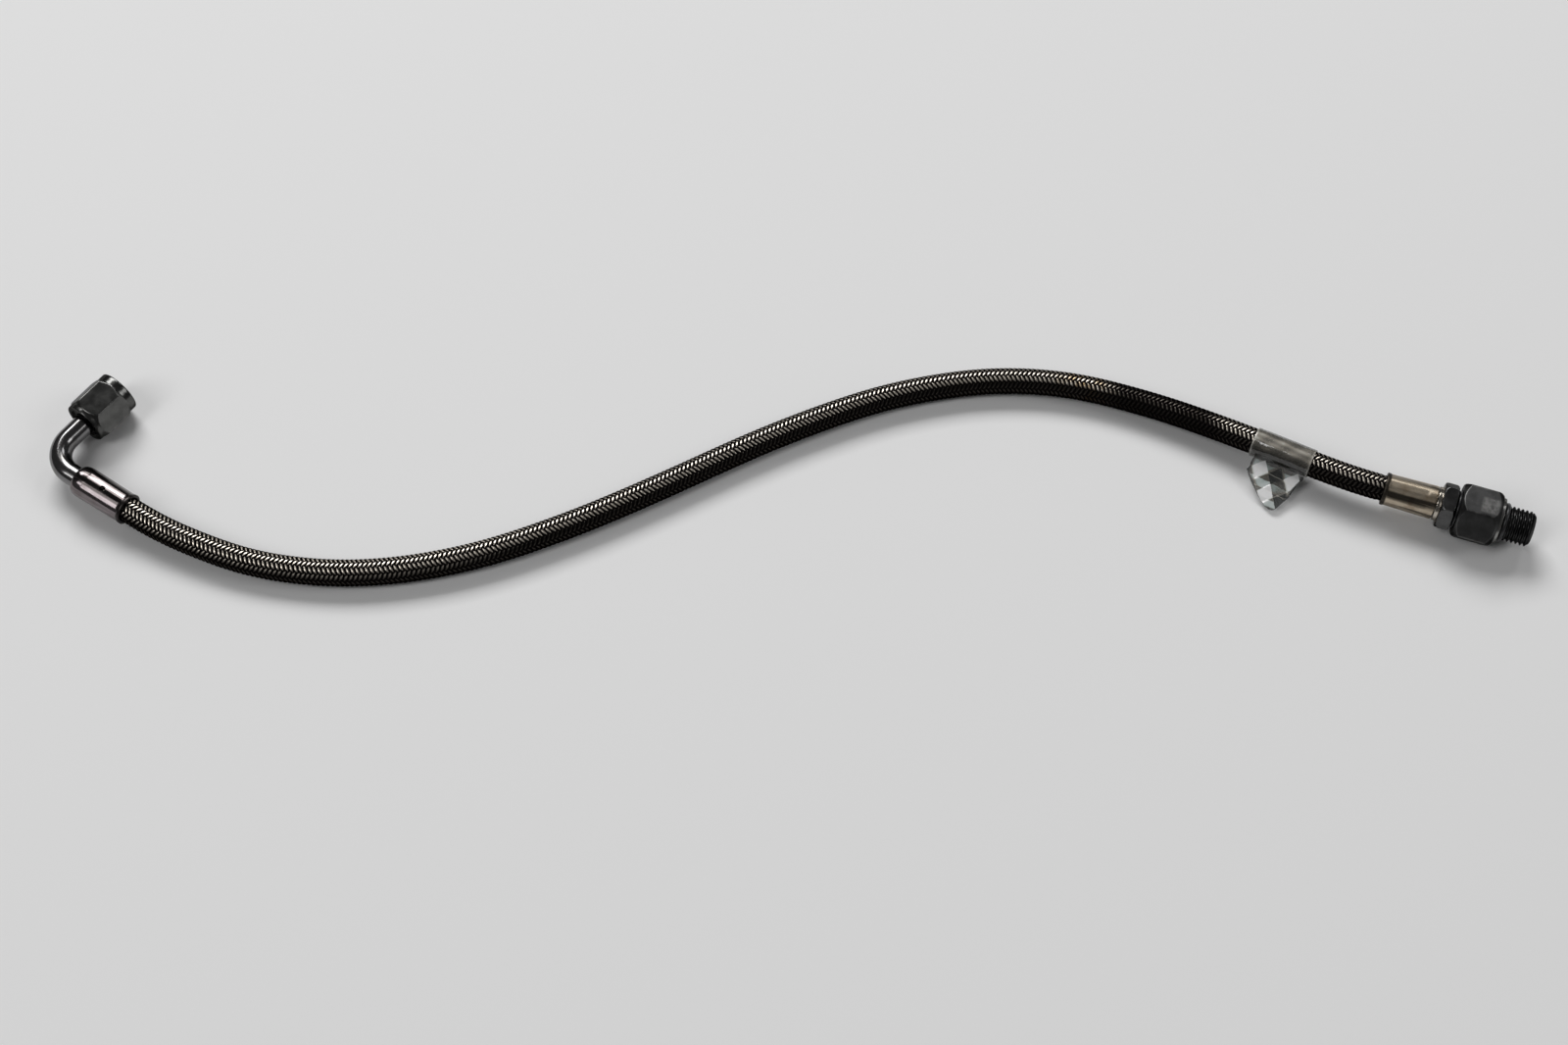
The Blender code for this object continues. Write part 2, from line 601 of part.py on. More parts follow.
def ring(name, neck, floor, parts, end, rubber):
    """An O-ring round a neck, lying on a floor."""
    cord = RING_CORD / 2
    bpy.ops.mesh.primitive_torus_add(major_radius=neck + GAP + cord, minor_radius=cord,
                                     major_segments=STEPS, minor_segments=6)
    torus = bpy.context.object
    for group in list(torus.users_collection):
        group.objects.unlink(torus)
    torus.name = name
    torus.data.name = name
    place(torus, parts, rubber, end, Matrix.Translation((0, 0, floor + GAP + cord)))
    torus.data.shade_smooth()


def blank_in(blank, group):
    """Link a blank so that it can be evaluated."""
    group.objects.link(blank)
    return blank


def hose_points(elbow, straight):
    """The hose's axis from inside one sleeve to inside the other, and its squeeze."""
    out_of_elbow = -(elbow.matrix_world.to_3x3() @ Vector((0, 0, 1)))
    into_straight = straight.matrix_world.to_3x3() @ Vector((0, 0, 1))
    elbow_mouth = elbow.matrix_world.translation
    straight_mouth = straight.matrix_world.translation
    start = elbow_mouth + out_of_elbow * HOSE_LEAD
    stop = straight_mouth - into_straight * HOSE_LEAD
    lying = HOSE_DIAMETER / 2 + REST
    route = [Vector((x, y, lying + lift)) for x, y, lift in ROUTE]
    curve = smooth_curve([start, *route, stop], out_of_elbow, into_straight)
    free = spaced(curve, POINT_SPACING)
    elbow_depth = hose_end(ELBOW_SLEEVE_LENGTH, ELBOW_SLEEVE_LIP)
    straight_depth = hose_end(STRAIGHT_SLEEVE_LENGTH, STRAIGHT_SLEEVE_LIP)
    before = [elbow_mouth - out_of_elbow * elbow_depth, elbow_mouth - out_of_elbow * DIE_RUN]
    after = [straight_mouth + into_straight * DIE_RUN,
             straight_mouth + into_straight * straight_depth]
    points = [Vector(p) for p in before + list(free) + after]
    squeeze = [CRIMP_SQUEEZE] * 2 + [0.0] * len(free) + [CRIMP_SQUEEZE] * 2
    return points, squeeze, curve


def build_hose(parts, points, squeeze, braid, liner):
    """The braid and, inside it, the liner."""
    resolution = (HOSE_SIDES - 4) // 2
    outside = HOSE_DIAMETER / 2
    shell = tube("hose_braid", points, [outside - s for s in squeeze], BRAID_WALL, resolution)
    place(shell, parts, braid)
    inside = outside - BRAID_WALL - GAP
    lining = tube("hose_liner", points, [inside - s for s in squeeze], LINER_WALL, resolution)
    place(lining, parts, liner)


def build_label(parts, cutters, curve, clear):
    """The clear tape: a band round the hose and a flag hanging towards the front."""
    run = np.concatenate([[0], np.cumsum(np.linalg.norm(np.diff(curve, axis=0), axis=1))])
    stop = run[-1] - TAPE_FROM_STRAIGHT_MOUTH
    stretch = [stop - TAPE_LENGTH + TAPE_LENGTH * step / 4 for step in range(5)]
    points = [Vector([np.interp(s, run, curve[:, axis]) for axis in range(3)]) for s in stretch]
    inside = HOSE_DIAMETER / 2 + 2 * GAP
    radius = inside + TAPE_THICKNESS
    band = tube("label_band", points, [radius] * len(points), TAPE_THICKNESS, 6)
    blank_in(band, cutters)
    mesh = baked(band)
    bpy.data.objects.remove(band)
    label = bpy.data.objects.new("label", mesh)
    place(label, parts, clear)

    along = (points[-1] - points[0]).normalized()
    heading = math.atan2(along.y, along.x)
    data = bpy.data.curves.new("flag_outline", 'CURVE')
    data.dimensions = '2D'
    data.fill_mode = 'BOTH'
    data.extrude = TAPE_THICKNESS / 2
    outline = data.splines.new('POLY')
    outline.points.add(len(FLAG_OUTLINE) - 1)
    for point, (x, y) in zip(outline.points, FLAG_OUTLINE):
        point.co = (x, y, 0, 1)
    outline.use_cyclic_u = True
    flag = bpy.data.objects.new("flag_outline", data)
    blank_in(flag, cutters)
    sheet = baked(flag)
    bpy.data.objects.remove(flag)
    reach = math.sqrt((inside + TAPE_THICKNESS / 2)**2 - FLAG_DROP**2)
    root = points[len(points) // 2] + Vector((0, 0, -FLAG_DROP))
    lean = Matrix.Rotation(heading, 4, 'Z') @ Matrix.Translation((0, -reach, 0))
    piece = bpy.data.objects.new("flag", sheet)
    guide(piece, cutters, None,
          Matrix.Translation(root) @ lean @ Matrix.Rotation(FLAG_TILT, 4, 'X'))
    boolean(label, piece, 'UNION')


def main():
    """Build the whole line."""
    clear_scene()
    parts = collection("oil_line")
    cutters = collection("cutters")
    steel = material("turned_steel", (0.62, 0.61, 0.59), 0.3, 1.0)
    bright = material("polished_steel", (0.74, 0.72, 0.70), 0.12, 1.0)
    dark = material("satin_steel", (0.10, 0.10, 0.10), 0.42, 0.8)
    braid = material("braided_wire", (0.66, 0.63, 0.58), 0.3, 1.0)
    liner = material("liner_plastic", (0.86, 0.86, 0.83), 0.4, 0.0)
    rubber = material("seal_rubber", (0.02, 0.02, 0.02), 0.5, 0.0)
    clear = material("clear_tape", (0.85, 0.87, 0.88), 0.2, 0.0, alpha=0.4)
    elbow = build_elbow(parts, cutters, steel, bright, dark)
    straight = build_straight(parts, cutters, steel, bright, dark, rubber)
    bpy.context.view_layer.update()
    points, squeeze, curve = hose_points(elbow, straight)
    build_hose(parts, points, squeeze, braid, liner)
    build_label(parts, cutters, curve, clear)


main()
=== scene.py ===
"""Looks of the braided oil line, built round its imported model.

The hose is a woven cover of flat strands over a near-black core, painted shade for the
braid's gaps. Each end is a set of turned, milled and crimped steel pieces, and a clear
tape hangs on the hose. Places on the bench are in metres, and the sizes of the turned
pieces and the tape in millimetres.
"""
from __future__ import annotations

import logging
import math
from dataclasses import dataclass, field
from enum import Enum
from typing import Any, Callable, NamedTuple, Optional, Sequence, Union

import bmesh
import bpy
import numpy as np
from mathutils import Matrix, Vector


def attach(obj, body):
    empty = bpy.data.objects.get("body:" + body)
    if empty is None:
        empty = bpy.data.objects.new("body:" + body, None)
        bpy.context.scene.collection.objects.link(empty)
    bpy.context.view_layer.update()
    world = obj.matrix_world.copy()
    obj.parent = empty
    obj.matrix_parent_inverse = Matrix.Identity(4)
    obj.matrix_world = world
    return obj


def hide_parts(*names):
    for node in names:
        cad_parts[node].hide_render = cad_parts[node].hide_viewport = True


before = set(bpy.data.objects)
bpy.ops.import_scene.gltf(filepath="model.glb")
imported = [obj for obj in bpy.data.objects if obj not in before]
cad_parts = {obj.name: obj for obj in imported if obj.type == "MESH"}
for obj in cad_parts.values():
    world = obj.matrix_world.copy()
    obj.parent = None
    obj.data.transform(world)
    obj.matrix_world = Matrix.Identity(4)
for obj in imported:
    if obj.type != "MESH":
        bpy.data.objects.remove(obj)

LOG = logging.getLogger("oil_line")
MM = 0.001
TURN = 2 * math.pi
FINE = 0.09
EVEN_COLUMNS = 96

Colour = tuple[float, float, float]
Array = np.ndarray
Profile = Sequence[tuple[float, ...]]
Piece = bpy.types.Object


class Hand(Enum):
    """Which way a strand winds."""

    RIGHT = 1
    LEFT = -1


# Mathematics of surfaces


def smooth_step(low: float, high: float, value: Array) -> Array:
    """Rise from 0 at low to 1 at high along 3t^2 - 2t^3."""
    t = np.clip((value - low) / (high - low), 0.0, 1.0)
    return t * t * (3.0 - 2.0 * t)


def soft_least(first: Array, second: Array, blend: float) -> Array:
    """The lesser of two values, rounded over a width: -w log(exp(-a/w) + exp(-b/w)).

    Args:
        first, second: the values a and b.
        blend: the width w.

    Returns:
        The rounded lesser value.
    """
    least = np.minimum(first, second)
    return least - blend * np.log(np.exp((least - first) / blend)
                                  + np.exp((least - second) / blend))


def clamped_spline(knots: Array, start: Array, end: Array, samples: int) -> Array:
    """A cubic spline with two continuous derivatives through knots.

    The slopes solve a tridiagonal system that equates second derivatives at each inner
    knot, and the first and last slope are given.

    Args:
        knots: points to pass through, one a row.
        start, end: unit directions at the first and the last knot.
        samples: points drawn on each span.

    Returns:
        Points along the curve, one a row.
    """
    span = np.linalg.norm(np.diff(knots, axis=0), axis=1)
    inner = np.arange(1, len(knots) - 1)
    system = np.zeros((len(knots), len(knots)))
    system[0, 0] = system[-1, -1] = 1.0
    system[inner, inner - 1] = span[1:]
    system[inner, inner] = 2.0 * (span[:-1] + span[1:])
    system[inner, inner + 1] = span[:-1]
    chord = np.diff(knots, axis=0) / span[:, None]
    right = np.empty_like(knots)
    right[0], right[-1] = start, end
    right[1:-1] = 3.0 * (span[1:, None] * chord[:-1] + span[:-1, None] * chord[1:])
    slope = np.linalg.solve(system, right)[:, None]
    u = np.linspace(0.0, 1.0, samples, endpoint=False)[None, :, None]
    a, b = knots[:-1, None], knots[1:, None]
    p, q = slope[:-1] * span[:, None, None], slope[1:] * span[:, None, None]
    curve = ((2 * u**3 - 3 * u**2 + 1) * a + (3 * u**2 - 2 * u**3) * b
             + (u**3 - 2 * u**2 + u) * p + (u**3 - u**2) * q)
    return np.vstack([curve.reshape(-1, 3), knots[-1:]])


class Corner(NamedTuple):
    """A corner of a turned profile.

    Attributes:
        radius: distance from the axis.
        height: place along the axis.
        fillet: how far the rounding reaches from the corner.
        step: spacing of the rows on the run that starts here.
    """

    radius: float
    height: float
    fillet: float = 0.0
    step: float = 1.5


def rounded_loop(profile: Profile, arc_rows: int = 4) -> Array:
    """A closed profile with a parabola of three control points at each rounded corner.

    Args:
        profile: corners down the outer side, then up the bore.
        arc_rows: points on each rounding.

    Returns:
        Rows of radius and height.
    """
    corners = [Corner(*row) for row in profile]
    spots = np.array([(c.radius, c.height) for c in corners])
    after = np.roll(spots, -1, axis=0) - spots
    length = np.linalg.norm(after, axis=1)
    reach = np.minimum([c.fillet for c in corners],
                       0.45 * np.minimum(length, np.roll(length, 1)))
    rows: list[Array] = []
    for i, corner in enumerate(corners):
        ahead, behind = after[i] / length[i], -after[i - 1] / length[i - 1]
        if reach[i] > 0:
            t = np.linspace(0.0, 1.0, arc_rows + 1)[:, None]
            first, last = spots[i] + behind * reach[i], spots[i] + ahead * reach[i]
            rows.append((1 - t)**2 * first + 2 * t * (1 - t) * spots[i] + t**2 * last)
        else:
            rows.append(spots[i:i + 1])
        run = length[i] - reach[i] - reach[(i + 1) % len(corners)]
        count = int(run / corner.step)
        if count > 0:
            t = (np.arange(1, count + 1) / (count + 1))[:, None]
            rows.append(spots[i] + ahead * (reach[i] + run * t))
    return np.vstack(rows)


def even_angles(columns: int) -> Array:
    """Angles that share a turn evenly."""
    return np.arange(columns) * (TURN / columns)


def sector_angles(spin: float, columns: int = 24, sides: int = 6) -> Array:
    """Angles round an axis, drawn together at the corners of a polygon.

    Within a side, t runs evenly and the angle follows t - 0.85 sin(2 pi t) / (2 pi).

    Args:
        spin: angle of the first side's middle.
        columns: angles on each side.
        sides: of the polygon.

    Returns:
        The angles, in order.
    """
    t = np.arange(columns) / columns
    eased = t - 0.85 * np.sin(TURN * t) / TURN
    side = np.arange(sides)[:, None]
    return ((side + eased[None, :]) * (TURN / sides)).ravel() + spin + math.pi / sides


def bar_radius(angles: Array, flats: float, spin: float, power: float = 90.0) -> Array:
    """Radius of a hexagon bar with slightly rounded corners.

    It is half the width over flats, divided by the power mean of the positive cosines of
    the angles to the side normals.

    Args:
        angles: where it is worked out.
        flats: width over flats.
        spin: angle of the first side's normal.
        power: how sharp the corners are.

    Returns:
        The radius at each angle.
    """
    normals = spin + even_angles(6)
    lean = np.maximum(np.cos(angles[:, None] - normals[None, :]), 1e-6)
    return flats / 2 / (lean**power).sum(axis=1)**(1.0 / power)


def thread_wave(phase: Array, crest: float = 0.14, root: float = 0.2) -> Array:
    """A thread's form over one turn of phase: 1 on its crest, 0 in its root, straight flanks."""
    t = np.abs((phase % 1.0) - 0.5) * 2.0
    return 1.0 - np.clip((t - crest) / (1.0 - crest - root), 0.0, 1.0)


@dataclass(frozen=True)
class EndFrame:
    """A place on the bench with its own axes, Z along a fitting's axis.

    Attributes:
        origin: the place, in metres.
        axes: the three unit axes as columns.
    """

    origin: Array
    axes: Array

    @classmethod
    def along(cls, origin: Sequence[float], heading: float, rise: float = 0.0) -> EndFrame:
        """Z along a heading over the bench, X down and Y to the left of it."""
        turn = Matrix.Rotation(heading, 3, 'Z') @ Matrix.Rotation(math.pi / 2 - rise, 3, 'Y')
        return cls(np.array(origin, float), np.array(turn))

    def shifted(self, offset: Sequence[float], bend: float) -> EndFrame:
        """A frame carried by this one: moved by an offset, then turned about X."""
        turn = np.array(Matrix.Rotation(bend, 3, 'X'))
        return EndFrame(self.world(np.array(offset, float)), self.axes @ turn)

    def world(self, local: Array) -> Array:
        """Local points in millimetres as points on the bench."""
        return local @ self.axes.T * MM + self.origin

    def matrix(self) -> Matrix:
        """The axes as a matrix."""
        return Matrix([list(row) for row in self.axes])


# Meshes


@dataclass(frozen=True)
class Grid:
    """A surface as rows of points that run down, in columns that run anticlockwise.

    Attributes:
        points: rows by columns by three.
        marks: numbers for each point, kept as attributes.
        closed: whether the last row meets the first.
        round: whether the last column meets the first.
    """

    points: Array
    marks: dict[str, Array] = field(default_factory=dict)
    closed: bool = False
    round: bool = False

    def quads(self) -> Array:
        """Each face: a point, the one below, the one beside that and the one beside.

        Returns:
            Four numbers of points a row.
        """
        rows, columns = self.points.shape[:2]
        i, j = np.meshgrid(np.arange(rows - 1 + self.closed),
                           np.arange(columns - 1 + self.round), indexing="ij")
        below, beside = (i + 1) % rows, (j + 1) % columns
        corners = [i * columns + j, below * columns + j, below * columns + beside,
                   i * columns + beside]
        return np.stack(corners, axis=-1).reshape(-1, 4)


def add_grids(name: str, grids: Sequence[Grid]) -> Piece:
    """Put grids into one smooth mesh by whole arrays.

    Args:
        name: the piece's name.
        grids: its surfaces, all with the same marks.

    Returns:
        The new object, linked to the scene.
    """
    sizes = [grid.points.shape[0] * grid.points.shape[1] for grid in grids]
    starts = np.concatenate([[0], np.cumsum(sizes)[:-1]])
    points = np.vstack([grid.points.reshape(-1, 3) for grid in grids])
    quads = np.vstack([grid.quads() + start for grid, start in zip(grids, starts)])
    mesh = bpy.data.meshes.new(name)
    mesh.vertices.add(len(points))
    mesh.vertices.foreach_set("co", points.astype(np.float32).ravel())
    mesh.loops.add(quads.size)
    mesh.loops.foreach_set("vertex_index", quads.astype(np.int32).ravel())
    mesh.polygons.add(len(quads))
    mesh.polygons.foreach_set("loop_start", np.arange(0, quads.size, 4, dtype=np.int32))
    mesh.polygons.foreach_set("use_smooth", np.ones(len(quads), bool))
    for mark in grids[0].marks:
        values = np.concatenate([grid.marks[mark].ravel() for grid in grids])
        layer = mesh.attributes.new(mark, 'FLOAT', 'POINT')
        layer.data.foreach_set("value", values.astype(np.float32))
    mesh.update(calc_edges=True)
    mesh.validate()
    piece = bpy.data.objects.new(name, mesh)
    bpy.context.scene.collection.objects.link(piece)
    return piece


def keep_edges(piece: Piece, degrees: float) -> Piece:
    """Shade a piece smooth apart from edges sharper than an angle."""
    piece.data.set_sharp_from_angle(angle=math.radians(degrees))
    return piece


def hand_over(piece: Piece, material: bpy.types.Material,
              node: Optional[str] = None, body: str = "line") -> Piece:
    """Args:
        piece: the piece.
        material: its look.
        node: the node that it stands for.
        body: the body that it rides on.

    Returns:
        The same piece.
    """
    piece.data.materials.append(material)
    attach(piece, body)
    if node is not None:
        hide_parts(node)
    return piece


@dataclass(frozen=True)
class Thread:
    """A helical thread on part of a turned profile.

    Attributes:
        bottom, top: where it runs along the axis.
        pitch: rise of one turn.
        depth: how far it is cut.
        radius: the uncut surface, by which its rows are known.
        outward: whether the cut goes into a shaft, and not into a bore.
    """

    bottom: float
    top: float
    pitch: float
    depth: float
    radius: float
    outward: bool = True

    def cut(self, radius: Array, height: Array, angle: Array) -> Array:
        """Cut the thread: a wave in height / pitch - angle / turn.

        It fades in over a third of a turn at either end, as a die's run-out does.

        Args:
            radius, height, angle: of each point.

        Returns:
            The radius after the cut.
        """
        fade = (smooth_step(self.bottom, self.bottom + self.pitch / 3, height)
                * (1 - smooth_step(self.top - self.pitch / 3, self.top, height)))
        near = np.abs(radius - self.radius) < self.depth / 4
        cut = self.depth * (1 - thread_wave(height / self.pitch - angle / TURN)) * fade * near
        return radius - cut if self.outward else radius + cut


def turned_piece(name: str, place: EndFrame, profile: Profile,
                 angles: Optional[Array] = None, bar: Optional[tuple[float, float]] = None,
                 thread: Optional[Thread] = None, press: Optional[Callable] = None,
                 blend: float = 0.05) -> Piece:
    """A turned ring, which may be milled to a hexagon, threaded or crimped.

    The surface is radius(row) carried round the axis. A hexagon bar takes the lesser of the
    turned radius and its own, so chamfers meet the flats in arcs.

    Args:
        name: the piece's name.
        place: the axis it is turned on.
        profile: its corners.
        angles: angles of the columns; even ones if left out.
        bar: width over flats and spin of the hexagon.
        thread: a thread to cut.
        press: a function of radius, height and angle that gives the pressed radius.
        blend: width over which milled and turned surfaces run together.

    Returns:
        The new object, with the attribute edge rising at its worn edges.
    """
    loop = rounded_loop(profile)
    if angles is None:
        angles = even_angles(EVEN_COLUMNS)
    radius = np.repeat(loop[:, :1], len(angles), axis=1)
    height = np.repeat(loop[:, 1:], len(angles), axis=1)
    angle = np.repeat(angles[None, :], len(loop), axis=0)
    edge = np.zeros_like(radius)
    if bar is not None:
        flats, spin = bar
        milled = bar_radius(angles, flats, spin)[None, :]
        corner = np.exp(-np.cos(3 * (angle - spin))**2 * 55.0) * (radius > milled)
        edge = np.maximum(np.exp(-np.abs(radius - milled) / 0.12), corner)
        radius = soft_least(radius, milled, blend)
    if press is not None:
        radius = press(radius, height, angle)
    if thread is not None:
        radius = thread.cut(radius, height, angle)
    local = np.stack([radius * np.cos(angle), radius * np.sin(angle), height], axis=-1)
    return add_grids(name, [Grid(place.world(local), {"edge": edge}, True, True)])


# Shader maths


class Socket:
    """A shader socket that takes part in Python expressions, one Math node an operator."""

    def __init__(self, tree: ShaderTree, link: bpy.types.NodeSocket) -> None:
        """Wrap an output socket of a node in a tree."""
        self.tree = tree
        self.link = link

    def math(self, operation: str, first: Operand, second: Operand) -> Socket:
        """Add a Math node on two operands."""
        return self.tree.node("ShaderNodeMath", {"operation": operation}, {0: first, 1: second})

    def __add__(self, other: Operand) -> Socket:
        """Sum."""
        return self.math('ADD', self, other)

    def __radd__(self, other: Operand) -> Socket:
        """Sum with a number first."""
        return self.math('ADD', other, self)

    def __sub__(self, other: Operand) -> Socket:
        """Difference."""
        return self.math('SUBTRACT', self, other)

    def __rsub__(self, other: Operand) -> Socket:
        """Difference with a number first."""
        return self.math('SUBTRACT', other, self)

    def __mul__(self, other: Operand) -> Socket:
        """Product."""
        return self.math('MULTIPLY', self, other)

    def __rmul__(self, other: Operand) -> Socket:
        """Product with a number first."""
        return self.math('MULTIPLY', other, self)

    def __truediv__(self, other: Operand) -> Socket:
        """Quotient."""
        return self.math('DIVIDE', self, other)

    def __rtruediv__(self, other: Operand) -> Socket:
        """Quotient with a number first."""
        return self.math('DIVIDE', other, self)

    def least(self, other: Operand) -> Socket:
        """The lesser of two."""
        return self.math('MINIMUM', self, other)

    def most(self, other: Operand) -> Socket:
        """The greater of two."""
        return self.math('MAXIMUM', self, other)

    def size(self) -> Socket:
        """The value without its sign."""
        return self.math('ABSOLUTE', self, 0.0)

    def between(self, low: float, high: float) -> Socket:
        """Rise smoothly from 0 at low to 1 at high, or fall if low is the greater."""
        return self.tree.node("ShaderNodeMapRange", {"interpolation_type": 'SMOOTHSTEP'},
                              {"Value": self, "From Min": low, "From Max": high})

    def within(self, low: float, high: float, soft: float) -> Socket:
        """1 between two limits and 0 outside, with edges softened by as much either way."""
        return self.between(low - soft, low + soft) * self.between(high + soft, high - soft)


Operand = Union[Socket, float]
Look = tuple[Socket, Socket]
Patch = Callable[["ShaderTree", Socket, Socket, Socket], Look]


def dimmed(colour: Colour, factor: float) -> Colour:
    """A colour times a factor."""
    return tuple(c * factor for c in colour)


class ShaderTree:
    """The nodes of one material."""

    def __init__(self, name: str) -> None:
        """Start a material with an empty Principled shader.

        Args:
            name: the material's name.
        """
        self.material = bpy.data.materials.new(name)
        self.material.use_nodes = True
        self.nodes = self.material.node_tree.nodes
        self.shader = self.nodes["Principled BSDF"]

    def node(self, kind: str, settings: dict[str, Any], inputs: dict[Any, Any],
             output: Union[int, str] = 0) -> Socket:
        """Add a node.

        Args:
            kind: the node's type.
            settings: its own settings, set before its sockets; stops fills a ramp.
            inputs: the value or link of each socket, by name or number.
            output: which output to return.

        Returns:
            That output.
        """
        made = self.nodes.new(kind)
        for key, value in settings.items():
            if key == "stops":
                self.fill_ramp(made.color_ramp, value)
            else:
                setattr(made, key, value)
        for key, value in inputs.items():
            self.put(made.inputs[key], value)
        return Socket(self, made.outputs[output])

    @staticmethod
    def fill_ramp(ramp: bpy.types.ColorRamp, stops: Sequence[tuple[float, Colour]]) -> None:
        """Write the stops of a colour ramp.

        Args:
            ramp: the ramp.
            stops: place and colour of each.
        """
        while len(ramp.elements) < len(stops):
            ramp.elements.new(1.0)
        for element, (place, colour) in zip(ramp.elements, stops):
            element.position = place
            element.color = (*colour, 1.0)

    def put(self, target: bpy.types.NodeSocket, value: Any) -> None:
        """Link a socket, or set its constant.

        Args:
            target: the socket to fill.
            value: a Socket, a number, a vector or a colour.
        """
        if isinstance(value, Socket):
            self.material.node_tree.links.new(value.link, target)
        elif target.type == 'RGBA':
            target.default_value = (*value, 1.0)
        else:
            target.default_value = value

    def set(self, **sockets: Any) -> None:
        """Set sockets of the Principled shader, with underscores for spaces."""
        for key, value in sockets.items():
            self.put(self.shader.inputs[key.replace("_", " ")], value)

    def mix(self, mask: Operand, low: Any, high: Any) -> Socket:
        """A colour that goes from low to high with a mask."""
        return self.node("ShaderNodeMix", {"data_type": 'RGBA'}, {0: mask, 6: low, 7: high}, 2)

    def bench(self) -> Socket:
        """Object coordinates, which are the bench's own on every piece."""
        return self.node("ShaderNodeTexCoord", {}, {}, "Object")

    def local(self, place: EndFrame) -> Socket:
        """Coordinates of an end, in metres: the bench's, moved and turned into its frame."""
        return self.node("ShaderNodeMapping", {"vector_type": 'TEXTURE'},
                         {"Vector": self.bench(), "Location": tuple(place.origin),
                          "Rotation": tuple(place.matrix().to_euler('XYZ'))})

    def parts(self, vector: Socket) -> list[Socket]:
        """The three coordinates of a vector."""
        first = self.node("ShaderNodeSeparateXYZ", {}, {0: vector})
        return [Socket(self, output) for output in first.link.node.outputs]

    def noise(self, vector: Socket, scale: float, detail: float = 3.0,
              roughness: float = 0.55) -> Socket:
        """Soft noise from 0 to 1."""
        return self.node("ShaderNodeTexNoise", {}, {"Vector": vector, "Scale": scale,
                                                    "Detail": detail, "Roughness": roughness})

    def streaks(self, vector: Socket, stretch: float, scale: float, detail: float = 2.0,
                roughness: float = 0.55) -> Socket:
        """Soft noise whose third coordinate is multiplied, for lines along or round an axis."""
        drawn = self.node("ShaderNodeVectorMath", {"operation": 'MULTIPLY'},
                          {0: vector, 1: (1.0, 1.0, stretch)})
        return self.noise(drawn, scale, detail, roughness)

    def mark(self, name: str) -> Socket:
        """A number kept on the mesh."""
        return self.node("ShaderNodeAttribute", {"attribute_name": name}, {}, "Fac")

    def bump(self, height: Socket, depth: float, strength: float) -> None:
        """Raise the surface by a height field times a depth in millimetres."""
        self.set(Normal=self.node("ShaderNodeBump", {}, {"Strength": strength, "Height": height,
                                                         "Distance": depth * MM}, "Normal"))


@dataclass(frozen=True)
class DarkSteel:
    """Satin dark steel of the nut, the small hexagon and the adapter.

    Attributes:
        name: the material's name.
        body: colour of its flats.
        worn: colour of its rubbed edges.
        roughness: its middle roughness.
        wear: how strongly the edges are rubbed.
        sheen: how much of a bare metal's sheen is left at a flat angle.
    """

    name: str
    body: Colour
    worn: Colour
    roughness: float
    wear: float
    sheen: Colour = (0.3, 0.3, 0.3)

    def build(self, place: EndFrame, patch: Optional[Patch] = None) -> bpy.types.Material:
        """Turned and milled steel: rings along the axis, cloudy oxide and rubbed edges.

        Args:
            place: frame of the fitting.
            patch: changes colour and roughness on part of the piece.

        Returns:
            The material.
        """
        tree = ShaderTree(self.name)
        local = tree.local(place)
        cloud = tree.noise(local, 260.0, 4.0)
        grain = tree.streaks(local, 9.0, 900.0)
        specks = tree.noise(local, 2600.0, 2.0).between(0.62, 0.78)
        rubbed = (tree.mark("edge") * (cloud * 1.6 - 0.15)).between(0.25, 0.95) * self.wear
        body = tree.mix(cloud.between(0.3, 0.75), dimmed(self.body, 0.8),
                        dimmed(self.body, 1.2))
        colour = tree.mix(specks * 0.35, body, dimmed(self.body, 2.4))
        colour = tree.mix(rubbed, colour, self.worn)
        rough = self.roughness + (cloud - 0.5) * 0.12 + rubbed * 0.1
        if patch is not None:
            colour, rough = patch(tree, local, colour, rough)
        tree.set(Base_Color=colour, Roughness=rough, Metallic=1.0, Specular_Tint=self.sheen)
        tree.bump(grain * 0.6 + cloud * 0.4, 0.02, 0.5)
        return tree.material


@dataclass(frozen=True)
class BrightSteel:
    """Bright steel of the tube, the sleeves and the turned inner pieces.

    Attributes:
        name: the material's name.
        body: its colour.
        tint: colour of its faint stains.
        roughness: its least roughness.
        drawn: how much fine lines along the axis show.
    """

    name: str
    body: Colour
    tint: Colour
    roughness: float
    drawn: float

    def build(self, place: EndFrame, patch: Optional[Patch] = None) -> bpy.types.Material:
        """Drawn lines along the axis, faint stains and a few rubbed spots.

        Args:
            place: frame of the fitting.
            patch: changes colour and roughness on part of the piece.

        Returns:
            The material.
        """
        tree = ShaderTree(self.name)
        local = tree.local(place)
        lines = tree.streaks(local, 0.06, 2300.0, 3.0, 0.7)
        bands = tree.streaks(local, 0.04, 560.0)
        cloud = tree.noise(local, 190.0)
        rub = tree.noise(local, 1500.0).between(0.6, 0.75)
        colour = tree.mix(cloud.between(0.42, 0.75), self.body, self.tint)
        colour = tree.mix((lines - 0.5).size() * (self.drawn * 1.6), colour,
                          dimmed(self.body, 0.45))
        colour = tree.mix(bands.between(0.52, 0.64) * (self.drawn * 0.45), colour,
                          dimmed(self.body, 0.15))
        rough = self.roughness + lines * 0.12 * self.drawn + cloud * 0.1 + rub * 0.08
        if patch is not None:
            colour, rough = patch(tree, local, colour, rough)
        tree.set(Base_Color=colour, Roughness=rough, Metallic=1.0)
        tree.bump(lines * self.drawn + cloud * 0.2, 0.012, 0.6)
        return tree.material


